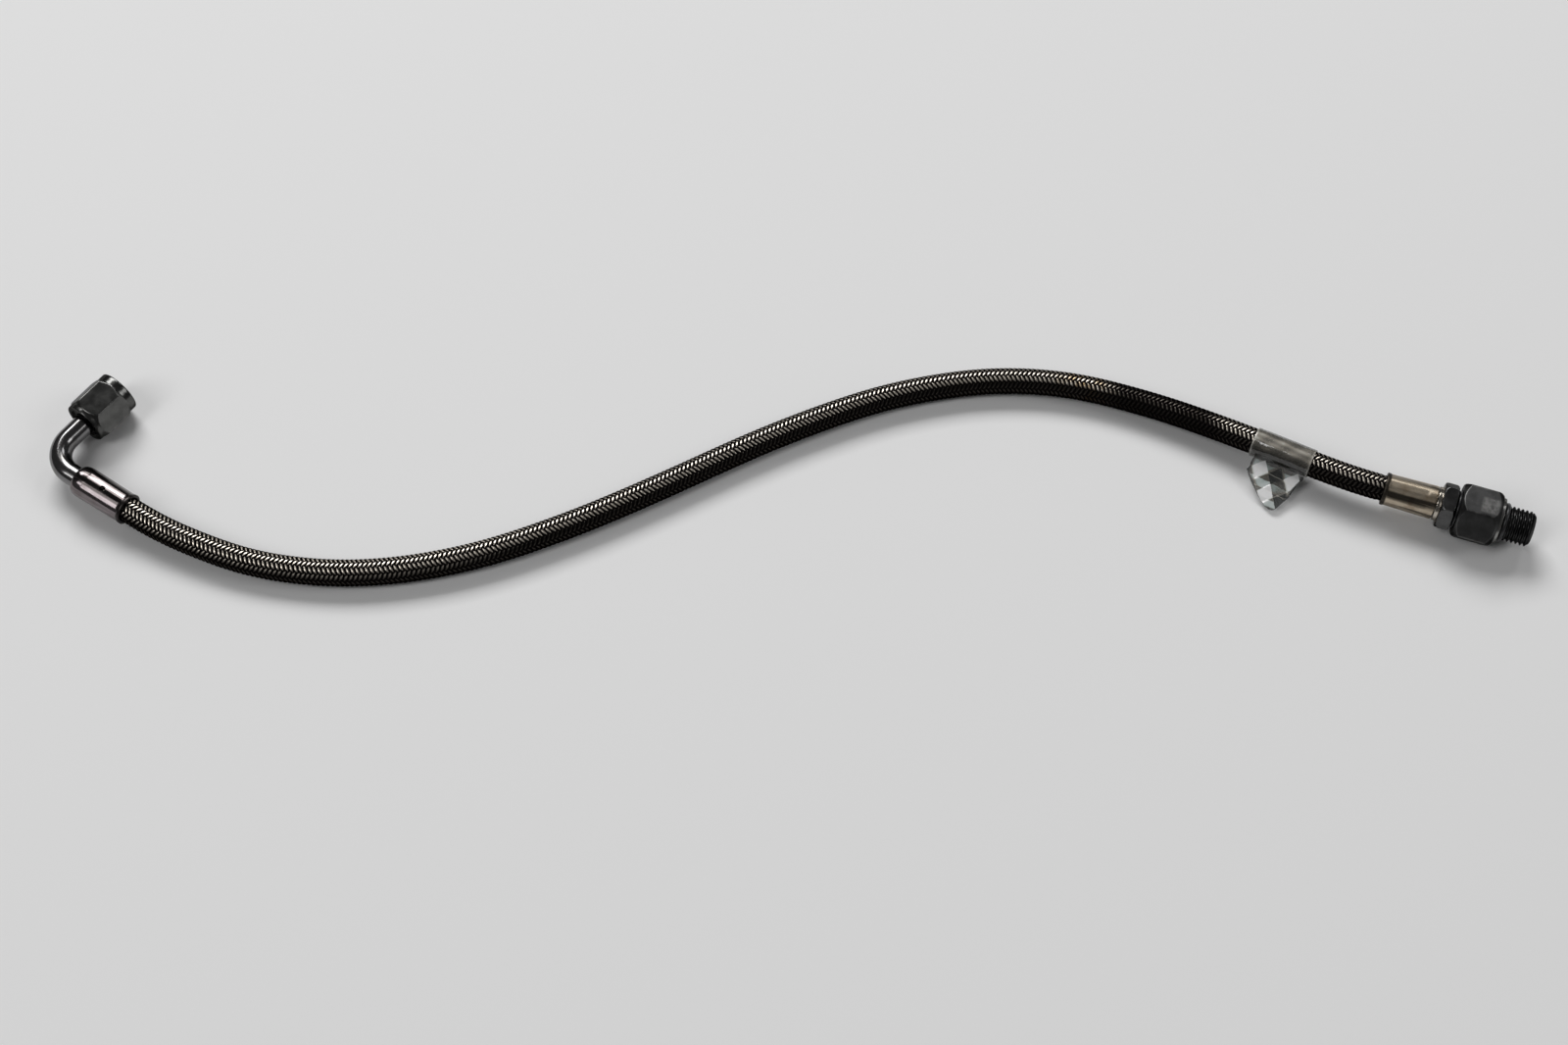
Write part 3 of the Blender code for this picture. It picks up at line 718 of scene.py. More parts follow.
@dataclass(frozen=True)
class BraidWire:
    """Stainless wire of the braid, its stretches given along X in metres.

    Attributes:
        bright, deep: colours of a wire's crown, and of the painted shade in the gaps, at the
            strands' edges and where a strand passes under.
        gold, oily, grimy: colour of heat-tinted wire, and of the painted shade on a stretch and
            on the lower side.
        sheen: how much of a bare metal's sheen is left at a flat angle.
        tint_middle, tint_reach: the heat-tinted stretch.
        shade_start, shade_end: the stretch that carries painted shade.
        shade_ease_end: where the painted shade on its lower side begins to reach higher.
    """

    bright: Colour = (0.92, 0.84, 0.73)
    deep: Colour = (0.006, 0.005, 0.005)
    gold: Colour = (0.72, 0.47, 0.2)
    stretch_shade: Colour = (0.02, 0.017, 0.014)
    under_shade: Colour = (0.017, 0.015, 0.013)
    sheen: Colour = (0.25, 0.25, 0.25)
    tint_middle: float = 0.108
    tint_reach: float = 0.014
    shade_start: float = 0.116
    shade_end: float = 0.156
    shade_ease_end: float = -0.1

    def build(self) -> bpy.types.Material:
        """Bright crowns with painted shade in the gaps, a gold stretch, and painted shade on a
        stretch towards the adapter and on the lower side.

        Returns:
            The material, which reads the attributes crown, lift and side.
        """
        tree = ShaderTree("braid_wire")
        bench = tree.bench()
        along = tree.parts(bench)[0]
        # Painted shade on the hose's lower side; it reaches less high at the elbow end.
        shade_ease = along.between(self.shade_ease_end + 0.02, self.shade_ease_end - 0.02) * 0.19
        under_shade_mask = (tree.mark("side") + shade_ease).between(0.96, 0.7) * 0.96
        # Painted shade: the wire is dark in the gaps, at the strands' edges and where a strand
        # passes under.
        seen = (tree.mark("crown") * tree.mark("lift")).between(0.5, 0.76)
        patch = tree.noise(bench, 330.0)
        broad = tree.noise(bench, 45.0, 2.0)
        heat = ((along - self.tint_middle) / self.tint_reach).size().between(1.0, 0.1)
        heat = heat * patch.between(0.42, 0.62) * 0.8
        # Painted shade on a stretch of the hose towards the adapter.
        painted_shade = along.within(self.shade_start, self.shade_end, 0.006)
        bright = tree.mix(patch.between(0.35, 0.8), self.bright, dimmed(self.bright, 0.72))
        bright = tree.mix(heat, bright, self.gold)
        bright = tree.mix(painted_shade * (0.8 + broad * 0.3), bright, self.stretch_shade)
        bright = tree.mix(under_shade_mask, bright, self.under_shade)
        tree.set(Base_Color=tree.mix(seen, self.deep, bright), Metallic=1.0,
                 Specular_Tint=self.sheen, Roughness=0.38 - seen * 0.12 + patch * 0.1)
        tree.bump(tree.noise(bench, 5200.0, 2.0), 0.01, 0.4)
        return tree.material


@dataclass(frozen=True)
class SealRubber:
    """Black rubber of an O-ring, with dust.

    Attributes:
        name: the material's name.
        body, dust: colours of the rubber and its dust.
    """

    name: str
    body: Colour = (0.012, 0.012, 0.013)
    dust: Colour = (0.12, 0.12, 0.12)

    def build(self) -> bpy.types.Material:
        """Nearly black, with a faint oily sheen and dust.

        Returns:
            The material.
        """
        tree = ShaderTree(self.name)
        bench = tree.bench()
        cloud = tree.noise(bench, 700.0)
        dust = tree.noise(bench, 4200.0, 2.0).between(0.66, 0.8)
        tree.set(Base_Color=tree.mix(dust * 0.5, self.body, self.dust),
                 Roughness=0.2 + cloud * 0.25)
        tree.bump(cloud, 0.02, 0.4)
        return tree.material


@dataclass(frozen=True)
class PlainFinish:
    """A finish for a piece that is almost hidden, such as the lining.

    Attributes:
        name: the material's name.
        body: its colour.
        roughness: its middle roughness.
        metallic: 1 for metal and 0 for plastic.
    """

    name: str
    body: Colour
    roughness: float
    metallic: float

    def build(self) -> bpy.types.Material:
        """The colour with soft clouding and a fine grain.

        Returns:
            The material.
        """
        tree = ShaderTree(self.name)
        bench = tree.bench()
        cloud = tree.noise(bench, 420.0)
        tree.set(Base_Color=tree.mix(cloud, dimmed(self.body, 0.8), self.body),
                 Roughness=self.roughness + (cloud - 0.5) * 0.2, Metallic=self.metallic)
        tree.bump(tree.noise(bench, 2500.0, 2.0), 0.01, 0.4)
        return tree.material


@dataclass(frozen=True)
class ClearTape:
    """Clear tape, whose folded faces carry painted light and shade.

    Attributes:
        shades: stops from its darkest face to its lightest, for the painted light and shade of
            its faces.
        crease_and_highlight: colour of its creases and of the painted highlight along the band.
        clear: alpha of its clearest face.
        milk: how much more of its lightest and darkest faces is seen.
    """

    shades: Sequence[tuple[float, Colour]] = (
        (0.0, (0.008, 0.011, 0.010)), (0.25, (0.04, 0.035, 0.027)), (0.45, (0.18, 0.155, 0.12)),
        (0.6, (0.5, 0.58, 0.56)), (0.8, (1.0, 1.0, 1.0)))
    crease_and_highlight: Colour = (0.92, 0.88, 0.79)
    clear: float = 0.3
    milk: float = 0.952

    def build(self) -> bpy.types.Material:
        """A glossy film: the attribute tone sets each face's painted light or shade, and creases
        are bright.

        Returns:
            The material.
        """
        tree = ShaderTree("clear_tape_film")
        cloud = tree.noise(tree.bench(), 240.0, 2.0)
        # Painted light and shade of each face, with random clouding.
        painted_light = tree.mark("painted_light") + (cloud - 0.5) * 0.25
        shade = tree.node("ShaderNodeValToRGB", {"stops": self.shades}, {"Fac": painted_light}, "Color")
        # Creases and the band's painted highlight take the crease colour.
        crease_and_highlight = tree.mark("crease_and_highlight")
        seen = (painted_light - 0.3).size() * self.milk + crease_and_highlight * 0.7 + self.clear
        tree.set(Base_Color=tree.mix(crease_and_highlight * 0.6, shade, self.crease_and_highlight),
                 Roughness=0.04 + crease_and_highlight * 0.1, Alpha=seen.least(0.95), Coat_Weight=0.8,
                 Coat_Roughness=0.04, Coat_IOR=1.9)
        tree.bump(cloud, 0.25, 0.4)
        return tree.material


# The object's parts


@dataclass
class HoseRoute:
    """The hose's line from inside one sleeve to inside the other, in metres.

    Attributes:
        elbow, straight: frames at the two sleeve mouths.
        elbow_depth, straight_depth: how far the hose reaches into each sleeve.
        clear: how far the hose runs straight out of each mouth.
        lying: height of its axis where it lies on the bench.
        knots: the model's route points: place, and height above lying.
        run, line: the curve drawn through them: distances and points.
    """

    elbow: EndFrame
    straight: EndFrame
    elbow_depth: float = 0.0165
    straight_depth: float = 0.0141
    clear: float = 0.0029
    lying: float = 0.0049
    knots: Sequence[tuple[float, float, float]] = (
        (-0.2199, -0.0261, 0.0014), (-0.2058, -0.0326, 0.0008), (-0.1887, -0.0387, 0.0003),
        (-0.1715, -0.0421, 0.0), (-0.1544, -0.0433, 0.0), (-0.1374, -0.0423, 0.0),
        (-0.1206, -0.0394, 0.0), (-0.1038, -0.0348, 0.0), (-0.0871, -0.0285, 0.0),
        (-0.0701, -0.0210, 0.0), (-0.0531, -0.0126, 0.0), (-0.0359, -0.0036, 0.0),
        (-0.0187, 0.0056, 0.0), (-0.0012, 0.0143, 0.0), (0.0167, 0.0222, 0.0),
        (0.0348, 0.0289, 0.0), (0.0527, 0.0335, 0.0), (0.0707, 0.0362, 0.0),
        (0.0886, 0.0364, 0.0), (0.1063, 0.0340, 0.0), (0.1238, 0.0289, 0.0003),
        (0.1409, 0.0221, 0.0011), (0.1542, 0.0158, 0.0019), (0.1743, 0.0054, 0.0033),
        (0.1922, -0.0039, 0.0042),
    )
    run: Array = field(init=False)
    line: Array = field(init=False)

    def __post_init__(self) -> None:
        """Draw the curve once: a spline between the mouths and a straight in each sleeve."""
        out, into = -self.elbow.axes[:, 2], self.straight.axes[:, 2]
        knots = np.vstack([self.elbow.origin + out * self.clear,
                           np.array(self.knots) + (0.0, 0.0, self.lying),
                           self.straight.origin - into * self.clear])
        self.line = np.vstack([self.elbow.origin - out * self.elbow_depth,
                               clamped_spline(knots, out, into, 60),
                               self.straight.origin + into * self.straight_depth])
        step = np.linalg.norm(np.diff(self.line, axis=0), axis=1)
        self.run = np.concatenate([[0.0], np.cumsum(step)])

    @property
    def length(self) -> float:
        """Length of the whole hose."""
        return float(self.run[-1])

    @property
    def mouth(self) -> float:
        """Distance along the hose at which it enters the straight sleeve."""
        return self.length - self.straight_depth

    def at(self, distance: Array) -> tuple[Array, Array, Array, Array]:
        """The hose's own axes; side is level and square to the tangent, and up to both.

        Args:
            distance: places along the hose.

        Returns:
            Centre, tangent, side and up at each.
        """
        ahead = np.clip(distance + 0.0004, 0, self.length)
        behind = np.clip(distance - 0.0004, 0, self.length)
        centre, after, before = (np.column_stack(
            [np.interp(where, self.run, self.line[:, k]) for k in range(3)])
            for where in (distance, ahead, behind))
        tangent = after - before
        tangent /= np.linalg.norm(tangent, axis=1)[:, None]
        side = np.cross(np.array([0.0, 0.0, 1.0]), tangent)
        side /= np.linalg.norm(side, axis=1)[:, None]
        return centre, tangent, side, np.cross(tangent, side)

    def wrap(self, distance: Array, angle: Array, radius: Array) -> Array:
        """Points round the hose: centre + radius (cos angle up + sin angle side).

        Args:
            distance, angle, radius: one of each for every point, as grids.

        Returns:
            The points, with the grids' rows and columns.
        """
        centre, _, side, up = self.at(distance.ravel())
        turn, reach = angle.ravel()[:, None], radius.ravel()[:, None]
        points = centre + reach * (np.cos(turn) * up + np.sin(turn) * side)
        return points.reshape(*distance.shape, 3)


@dataclass
class BraidedHose:
    """The hose, in metres: a near-black core, painted shade for the gaps, and flat strands of
    wire woven over it.

    Attributes:
        route: the hose's line.
        diameter: over the braid.
        carriers: strands that wind each way.
        wires: wires laid side by side in a strand.
        angle: between a strand and the hose's axis.
        width: of a strand.
        lift: half the height between a strand's over and under.
        wire_height: height of a wire's round back above its neighbours.
        sag: how far a strand's edges hang below its middle.
        skirt: how far its rims turn down.
        step: spacing of the rows along the hose.
        squeeze: how far a crimp presses the hose inwards.
        bore: radius of the core's inside.
        groups: pieces that the strands are shared out to.
    """

    route: HoseRoute
    diameter: float = 0.0096
    carriers: int = 12
    wires: int = 3
    angle: float = math.radians(55.5)
    width: float = 0.00126
    lift: float = 0.0002
    wire_height: float = 0.00005
    sag: float = 0.00022
    skirt: float = 0.00016
    step: float = 0.00045
    squeeze: float = 0.00025
    bore: float = 0.00392
    groups: int = 4

    @property
    def middle(self) -> float:
        """Radius of the woven layer's middle."""
        return self.diameter / 2 - self.lift - self.wire_height

    @property
    def lay(self) -> float:
        """Length along the hose in which a strand winds once round."""
        return TURN * self.middle / math.tan(self.angle)

    def narrowed(self, distance: Array, radius: Array) -> Array:
        """Press the hose inwards inside either sleeve.

        Args:
            distance, radius: of each point.

        Returns:
            The radius after the crimps.
        """
        start, stop = self.route.elbow_depth, self.route.mouth
        inside = (1 - smooth_step(start - MM, start + 3 * MM, distance)
                  + smooth_step(stop - 3 * MM, stop + MM, distance))
        return radius - self.squeeze * inside

    def strand(self, number: int, winding: Hand) -> Grid:
        """The surface of one strand.

        A point lies at arc length s and offset v across. Its angle is
        hand (2 pi s / lay) + 2 pi number / carriers + v cos(angle) / radius, and its place
        along the hose is s - hand v sin(angle). Its height is the middle radius plus a
        rounded square wave over four crossings, plus the wires' round backs.

        Args:
            number: which carrier.
            winding: which way it winds; hand below is 1 for right and -1 for left.

        Returns:
            The grid, with the marks crown, lift and side, which is 1 on top.
        """
        hand = winding.value
        margin = self.width / 2
        rows = int((self.route.length - 2 * margin) / self.step)
        s = np.linspace(margin, self.route.length - margin, rows)[:, None]
        fine = np.linspace(0.5, -0.5, 2 * self.wires + 1)
        across = np.concatenate([[0.5], fine, [-0.5]])[None, :]
        rim = np.zeros(across.shape)
        rim[0, 0] = rim[0, -1] = 1.0
        v = across * self.width
        angle = (hand * TURN * s / self.lay + TURN * number / self.carriers
                 + v * math.cos(self.angle) / self.middle)
        along = s - hand * v * math.sin(self.angle)
        crossing = self.carriers * (angle / TURN + hand * along / self.lay)
        wave = hand * np.cos(math.pi / 2 * (number + crossing - 0.5))
        weave = np.tanh(1.5 * wave) / math.tanh(1.5)
        wire = np.abs(np.cos(math.pi * self.wires * across + math.pi / 2 * (self.wires - 1)))
        wire = np.sqrt(wire) * (1 - rim) + 0 * s
        radius = (self.middle + self.lift * weave + self.wire_height * wire
                  - self.sag * (2 * across)**2 - self.skirt * rim)
        points = self.route.wrap(along, angle, self.narrowed(along, radius))
        # crown and lift mark where the wire gets painted shade in the gaps; side marks the lower
        # side, which gets painted shade.
        return Grid(points, {"crown": (1 - (2 * across)**2) * (0.7 + 0.3 * wire),
                             "lift": weave * 0.5 + 0.5, "side": np.cos(angle)})

    def core(self) -> Piece:
        """The pipe under the strands: an outer round and an inner round, joined at the ends.

        Returns:
            The piece.
        """
        rows = int(self.route.length / (1.6 * MM))
        down = np.linspace(0.05 * MM, self.route.length - 0.05 * MM, rows)
        turn = even_angles(32)[None, :]
        distance = np.concatenate([down, down[::-1]])[:, None] + 0 * turn
        outer = self.middle - self.lift - 0.1 * MM
        radius = np.repeat([outer, self.bore], rows)[:, None] + 0 * turn
        points = self.route.wrap(distance, 0 * distance - turn, self.narrowed(distance, radius))
        return add_grids("hose_core", [Grid(points, {}, True, True)])

    def cover(self, group: int) -> Piece:
        """A share of the strands, all wound one way.

        Args:
            group: which share, from 0.

        Returns:
            The piece.
        """
        winding = Hand.RIGHT if group % 2 == 0 else Hand.LEFT
        chosen = range(group // 2, self.carriers, self.groups // 2)
        return add_grids(f"braid_strands_{group + 1}",
                         [self.strand(number, winding) for number in chosen])

    def build(self) -> list[Piece]:
        """Make and dress the core and the strands.

        Returns:
            The core, then the strands.
        """
        wire = BraidWire().build()
        # A near-black core: painted shade seen through the braid's gaps.
        gap_shade = PlainFinish("core_gap_shade", (0.03, 0.028, 0.026), 0.5, 0.6).build()
        return [hand_over(self.core(), gap_shade, "hose_braid"),
                *(hand_over(self.cover(group), wire)
                  for group in range(self.groups))]


@dataclass
class CrimpSleeve:
    """A crimped sleeve with the flats that eight dies leave.

    Attributes:
        name: the piece's name.
        place: frame at its mouth, Z towards its fitting.
        node: the CAD node it stands for.
        length, mouth, body: its length and its width at the mouth and at the far end.
        lip, lip_bore: length and bore of the lip that grips the fitting.
        shoulder: reach of the rounding at the far end, along and inwards.
        spin: how far the dies are turned.
        shade_strip: the strip of its upper side, from low to high Y, that carries painted shade.
        depth: how deep a die presses.
        bore: for the hose.
        dies: how many press it.
        dark_rim_and_shade: colour of its darker rim and of the painted shade on the strip.
    """

    name: str
    place: EndFrame
    node: str
    length: float
    mouth: float
    body: float
    lip: float
    lip_bore: float
    shoulder: tuple[float, float]
    spin: float
    shade_strip: tuple[float, float]
    depth: float = 0.13
    bore: float = 9.7
    dies: int = 8
    dark_rim_and_shade: Colour = (0.02, 0.018, 0.016)

    def press(self, radius: Array, height: Array, angle: Array) -> Array:
        """Press the dies' flats, faded at their ends.

        A flat lies at (radius - depth) / cos(angle to the die's middle), and the least of it
        and the round counts.

        Args:
            radius, height, angle: of each point.

        Returns:
            The radius under the dies.
        """
        low, high = 1.3, self.length - self.lip - 0.6
        within = smooth_step(low, low + 0.9, height) * (1 - smooth_step(high - 0.9, high, height))
        share = TURN / self.dies
        turn = (angle - self.spin + share / 2) % share - share / 2
        pressed = soft_least(radius, (radius - self.depth) / np.cos(turn), 0.03)
        outer = radius > self.bore / 2 + 0.2
        return np.where(outer, radius + (pressed - radius) * within, radius)

    def rim_and_shade(self, tree: ShaderTree, local: Socket, colour: Socket, rough: Socket) -> Look:
        """Darker on the lip at the hose's side and in the bore, and painted shade on a strip of
        the upper side.

        Args:
            tree: the material's nodes.
            local: coordinates of the end.
            colour, rough: the clean steel.

        Returns:
            Colour and roughness with the darker rim and the painted shade.
        """
        x, y, height = tree.parts(local)
        rim = height.between(1.7 * MM, 1.1 * MM) * 0.92
        # Painted shade on a strip of the upper side.
        low, high = self.shade_strip
        strip = y.within(low * MM, high * MM, 0.3 * MM) * x.between(0.5 * MM, -0.5 * MM)
        painted_shade = strip * tree.streaks(local, 0.05, 900.0).between(0.68, 0.5) * 0.84
        return tree.mix(rim.most(painted_shade), colour, self.dark_rim_and_shade), rough + rim * 0.15

    def build(self, finish: BrightSteel, hole: Optional[Callable] = None) -> Piece:
        """Make the sleeve, and drill it if a function for that is given.

        Args:
            finish: its steel.
            hole: drills the piece.

        Returns:
            The piece.
        """
        run, drop = self.shoulder
        body, mouth, bore, lip = (wide / 2 for wide in (self.body, self.mouth, self.bore,
                                                        self.lip_bore))
        end, seat = self.length, self.length - self.lip
        profile = [(body - drop * (1 - math.sin(a)), end - run * (1 - math.cos(a)))
                   for a in np.linspace(0, math.pi / 2, 7)[:-1]]
        profile += [(body, end - run, 0.0, 0.35), (mouth - 0.2, 1.4, 0.3, 0.3),
                    (mouth, 0.9, 0.3), (mouth, 0.0, 0.4), (bore, 0.0, 0.25), (bore, seat),
                    (lip, seat), (lip, end, 0.1)]
        sleeve = turned_piece(self.name, self.place, profile,
                              sector_angles(self.spin, 20, self.dies), press=self.press)
        if hole is not None:
            sleeve = hole(sleeve)
        return hand_over(keep_edges(sleeve, 40), finish.build(self.place, self.rim_and_shade),
                         self.node)


@dataclass
class ElbowEnd:
    """The bent end: crimp sleeve, bent tube, nose and swivel nut.

    Attributes:
        place: frame at the sleeve's mouth.
        sleeve_length, sleeve_lip: of the crimp sleeve.
        tube, tube_wall: the tube's diameter and wall.
        bend_radius, bend: of the tube.
        leg_at_sleeve, leg_at_nut: its straight runs.
        nut_length, nut_flats, nut_spin, nut_floor: of the nut, its floor being the web.
        hole_from_mouth, hole_turn, hole: place and diameter of the sight hole.
    """

    place: EndFrame
    sleeve_length: float = 22.5
    sleeve_lip: float = 3.8
    tube: float = 7.9
    tube_wall: float = 1.0
    bend_radius: float = 10.0
    bend: float = math.radians(94.2)
    leg_at_sleeve: float = 3.9
    leg_at_nut: float = 7.7
    nut_length: float = 18.0
    nut_flats: float = 16.1
    nut_spin: float = math.radians(7)
    nut_floor: float = 5.0
    hole_from_mouth: float = 10.4
    hole_turn: float = math.radians(-3)
    hole: float = 2.2

    @property
    def swivel(self) -> EndFrame:
        """Frame at the nut's rear face.

        Returns:
            The frame, Z out of the nut's mouth.
        """
        tangent = self.bend_radius * math.tan(self.bend / 2)
        reach = tangent + self.leg_at_nut
        corner = self.sleeve_length + self.leg_at_sleeve + tangent
        return self.place.shifted((0.0, -math.sin(self.bend) * reach,
                                   corner + math.cos(self.bend) * reach), self.bend)

    def build(self) -> list[Piece]:
        """Make and dress every piece of this end.

        Returns:
            The pieces.
        """
        # The last pair is the strip of the upper side that carries painted shade.
        sleeve = CrimpSleeve("elbow_crimp", self.place, "elbow_sleeve", self.sleeve_length,
                             11.7, 11.7, self.sleeve_lip, 8.5, (3.0, 1.1),
                             math.radians(14), (-5.2, 2.6))
        steel = BrightSteel("crimped_steel", (0.25, 0.218, 0.225), (0.18, 0.155, 0.155),
                            0.05, 0.9)
        return [sleeve.build(steel, self.drill), self.bent_tube(), self.nose(), self.nut()]

    def drill(self, sleeve: Piece) -> Piece:
        """Drill the sight hole through the top wall of the sleeve.

        Args:
            sleeve: the whole sleeve.

        Returns:
            The drilled one.
        """
        shape = bmesh.new()
        bmesh.ops.create_cone(shape, cap_ends=True, segments=48, radius1=self.hole / 2 * MM,
                              radius2=self.hole / 2 * MM, depth=4 * MM)
        up = Matrix.Rotation(self.hole_turn, 4, 'Z') @ Matrix.Rotation(-math.pi / 2, 4, 'Y')
        local = (Matrix.Translation((0, 0, self.hole_from_mouth * MM)) @ up
                 @ Matrix.Translation((0, 0, 6.75 * MM)))
        world = Matrix.Translation(Vector(self.place.origin)) @ self.place.matrix().to_4x4()
        bmesh.ops.transform(shape, matrix=world @ local, verts=shape.verts)
        mesh = bpy.data.meshes.new("sight_drill")
        shape.to_mesh(mesh)
        shape.free()
        drill = bpy.data.objects.new("sight_drill", mesh)
        bpy.context.scene.collection.objects.link(drill)
        cut = sleeve.modifiers.new("sight_hole", 'BOOLEAN')
        cut.object, cut.operation, cut.solver = drill, 'DIFFERENCE', 'EXACT'
        bpy.context.view_layer.update()
        graph = bpy.context.evaluated_depsgraph_get()
        drilled = bpy.data.meshes.new_from_object(sleeve.evaluated_get(graph))
        sleeve.modifiers.clear()
        sleeve.data = drilled
        bpy.data.objects.remove(drill)
        return sleeve

    def bent_tube(self) -> Piece:
        """The bent tube: a circle carried along leg, arc and leg, outside out and inside back.

        Returns:
            The piece.
        """
        rows, start = 90, self.sleeve_length - self.sleeve_lip
        low, arc = self.sleeve_length + self.leg_at_sleeve - start, self.bend * self.bend_radius
        s = np.linspace(0, low + arc + self.leg_at_nut + self.nut_floor, rows)
        s = np.concatenate([s, s[::-1]])
        swing = np.clip((s - low) / self.bend_radius, 0, self.bend)
        after = np.maximum(s - low - arc, 0)
        y = -(self.bend_radius * (1 - np.cos(swing)) + after * math.sin(self.bend))
        z = (start + np.minimum(s, low) + self.bend_radius * np.sin(swing)
             + after * math.cos(self.bend))
        radius = np.repeat([self.tube / 2, self.tube / 2 - self.tube_wall], rows)[:, None]
        turn = even_angles(64)[None, :]
        across = radius * np.sin(-turn)
        local = np.stack([radius * np.cos(turn), y[:, None] + across * np.cos(swing)[:, None],
                          z[:, None] + across * np.sin(swing)[:, None]], axis=-1)
        tube = add_grids("bent_tube", [Grid(self.place.world(local), {}, True, True)])
        steel = BrightSteel("polished_tube", (0.2, 0.198, 0.2), (0.15, 0.145, 0.14), 0.09, 0.25)
        return hand_over(keep_edges(tube, 50), steel.build(self.place),
                         "elbow_tube")

    def nose(self) -> Piece:
        """The nose with its conical seat, inside the nut.

        Returns:
            The piece.
        """
        back, front = self.nut_floor + 0.3, self.nut_floor + 4.5
        bore, outer, seat, groove, shank = 1.9, 5.4, 4.9, 4.65, 2.65
        depth = (seat - bore) / math.tan(math.radians(37))
        nose = turned_piece("seat_nose", self.swivel, [
            (outer, front, 0.3), (outer, front - 1.6, 0.1), (groove, front - 1.6),
            (groove, front - 3.0), (outer, front - 3.0), (outer, back, 0.1), (shank, back),
            (shank, back - 4, 0.1), (bore, back - 4), (bore, front - depth, 0.1, 0.5),
            (seat, front, 0.1)])
        steel = BrightSteel("turned_seat", (0.66, 0.64, 0.61), (0.5, 0.47, 0.43), 0.22, 0.4)
        return hand_over(keep_edges(nose, 30), steel.build(self.swivel), "nose")

    def nut(self) -> Piece:
        """The swivel nut: two round collars, chamfered flats and an inner thread.

        Returns:
            The piece.
        """
        mouth, rear, recess = 8.0, 7.95, 6.2
        wide, slope = self.nut_flats / math.sqrt(3) + 0.3, math.tan(math.radians(50))
        long, low, floor, pitch = self.nut_length, 1.6, self.nut_floor, 1.27
        top, wire = long - 3.1, floor + 2.2
        hole, bore, groove = 4.35, 5.7, 6.05
        profile = [(mouth, long, 0.6), (mouth, top, 0.12, FINE),
                   (wide, top - (wide - mouth) * slope, 0.0, 1.2),
                   (wide, low + (wide - rear) * slope, 0.0, FINE), (rear, low, 0.12),
                   (rear, 0, 0.55), (recess, 0, 0.15), (recess, 0.7, 0.1), (hole, 0.7, 0.15),
                   (hole, floor), (bore, floor, 0.0, 1.6), (bore, wire - 0.7),
                   (groove, wire - 0.7), (groove, wire + 0.7),
                   (bore, wire + 0.7, 0.0, pitch / 10),
                   (bore, long - 0.8, 0.0, 0.2), (bore + 0.8, long, 0.15)]
        nut = turned_piece("hexagon_swivel", self.swivel, profile, sector_angles(self.nut_spin),
                           (self.nut_flats, self.nut_spin),
                           Thread(wire + 0.9, long - 0.7, pitch, 0.6, bore, False))
        steel = DarkSteel("satin_nut", (0.105, 0.105, 0.102), (0.26, 0.255, 0.25), 0.2, 0.4)
        return hand_over(keep_edges(nut, 35), steel.build(self.swivel),
                         "swivel_nut", "nut")


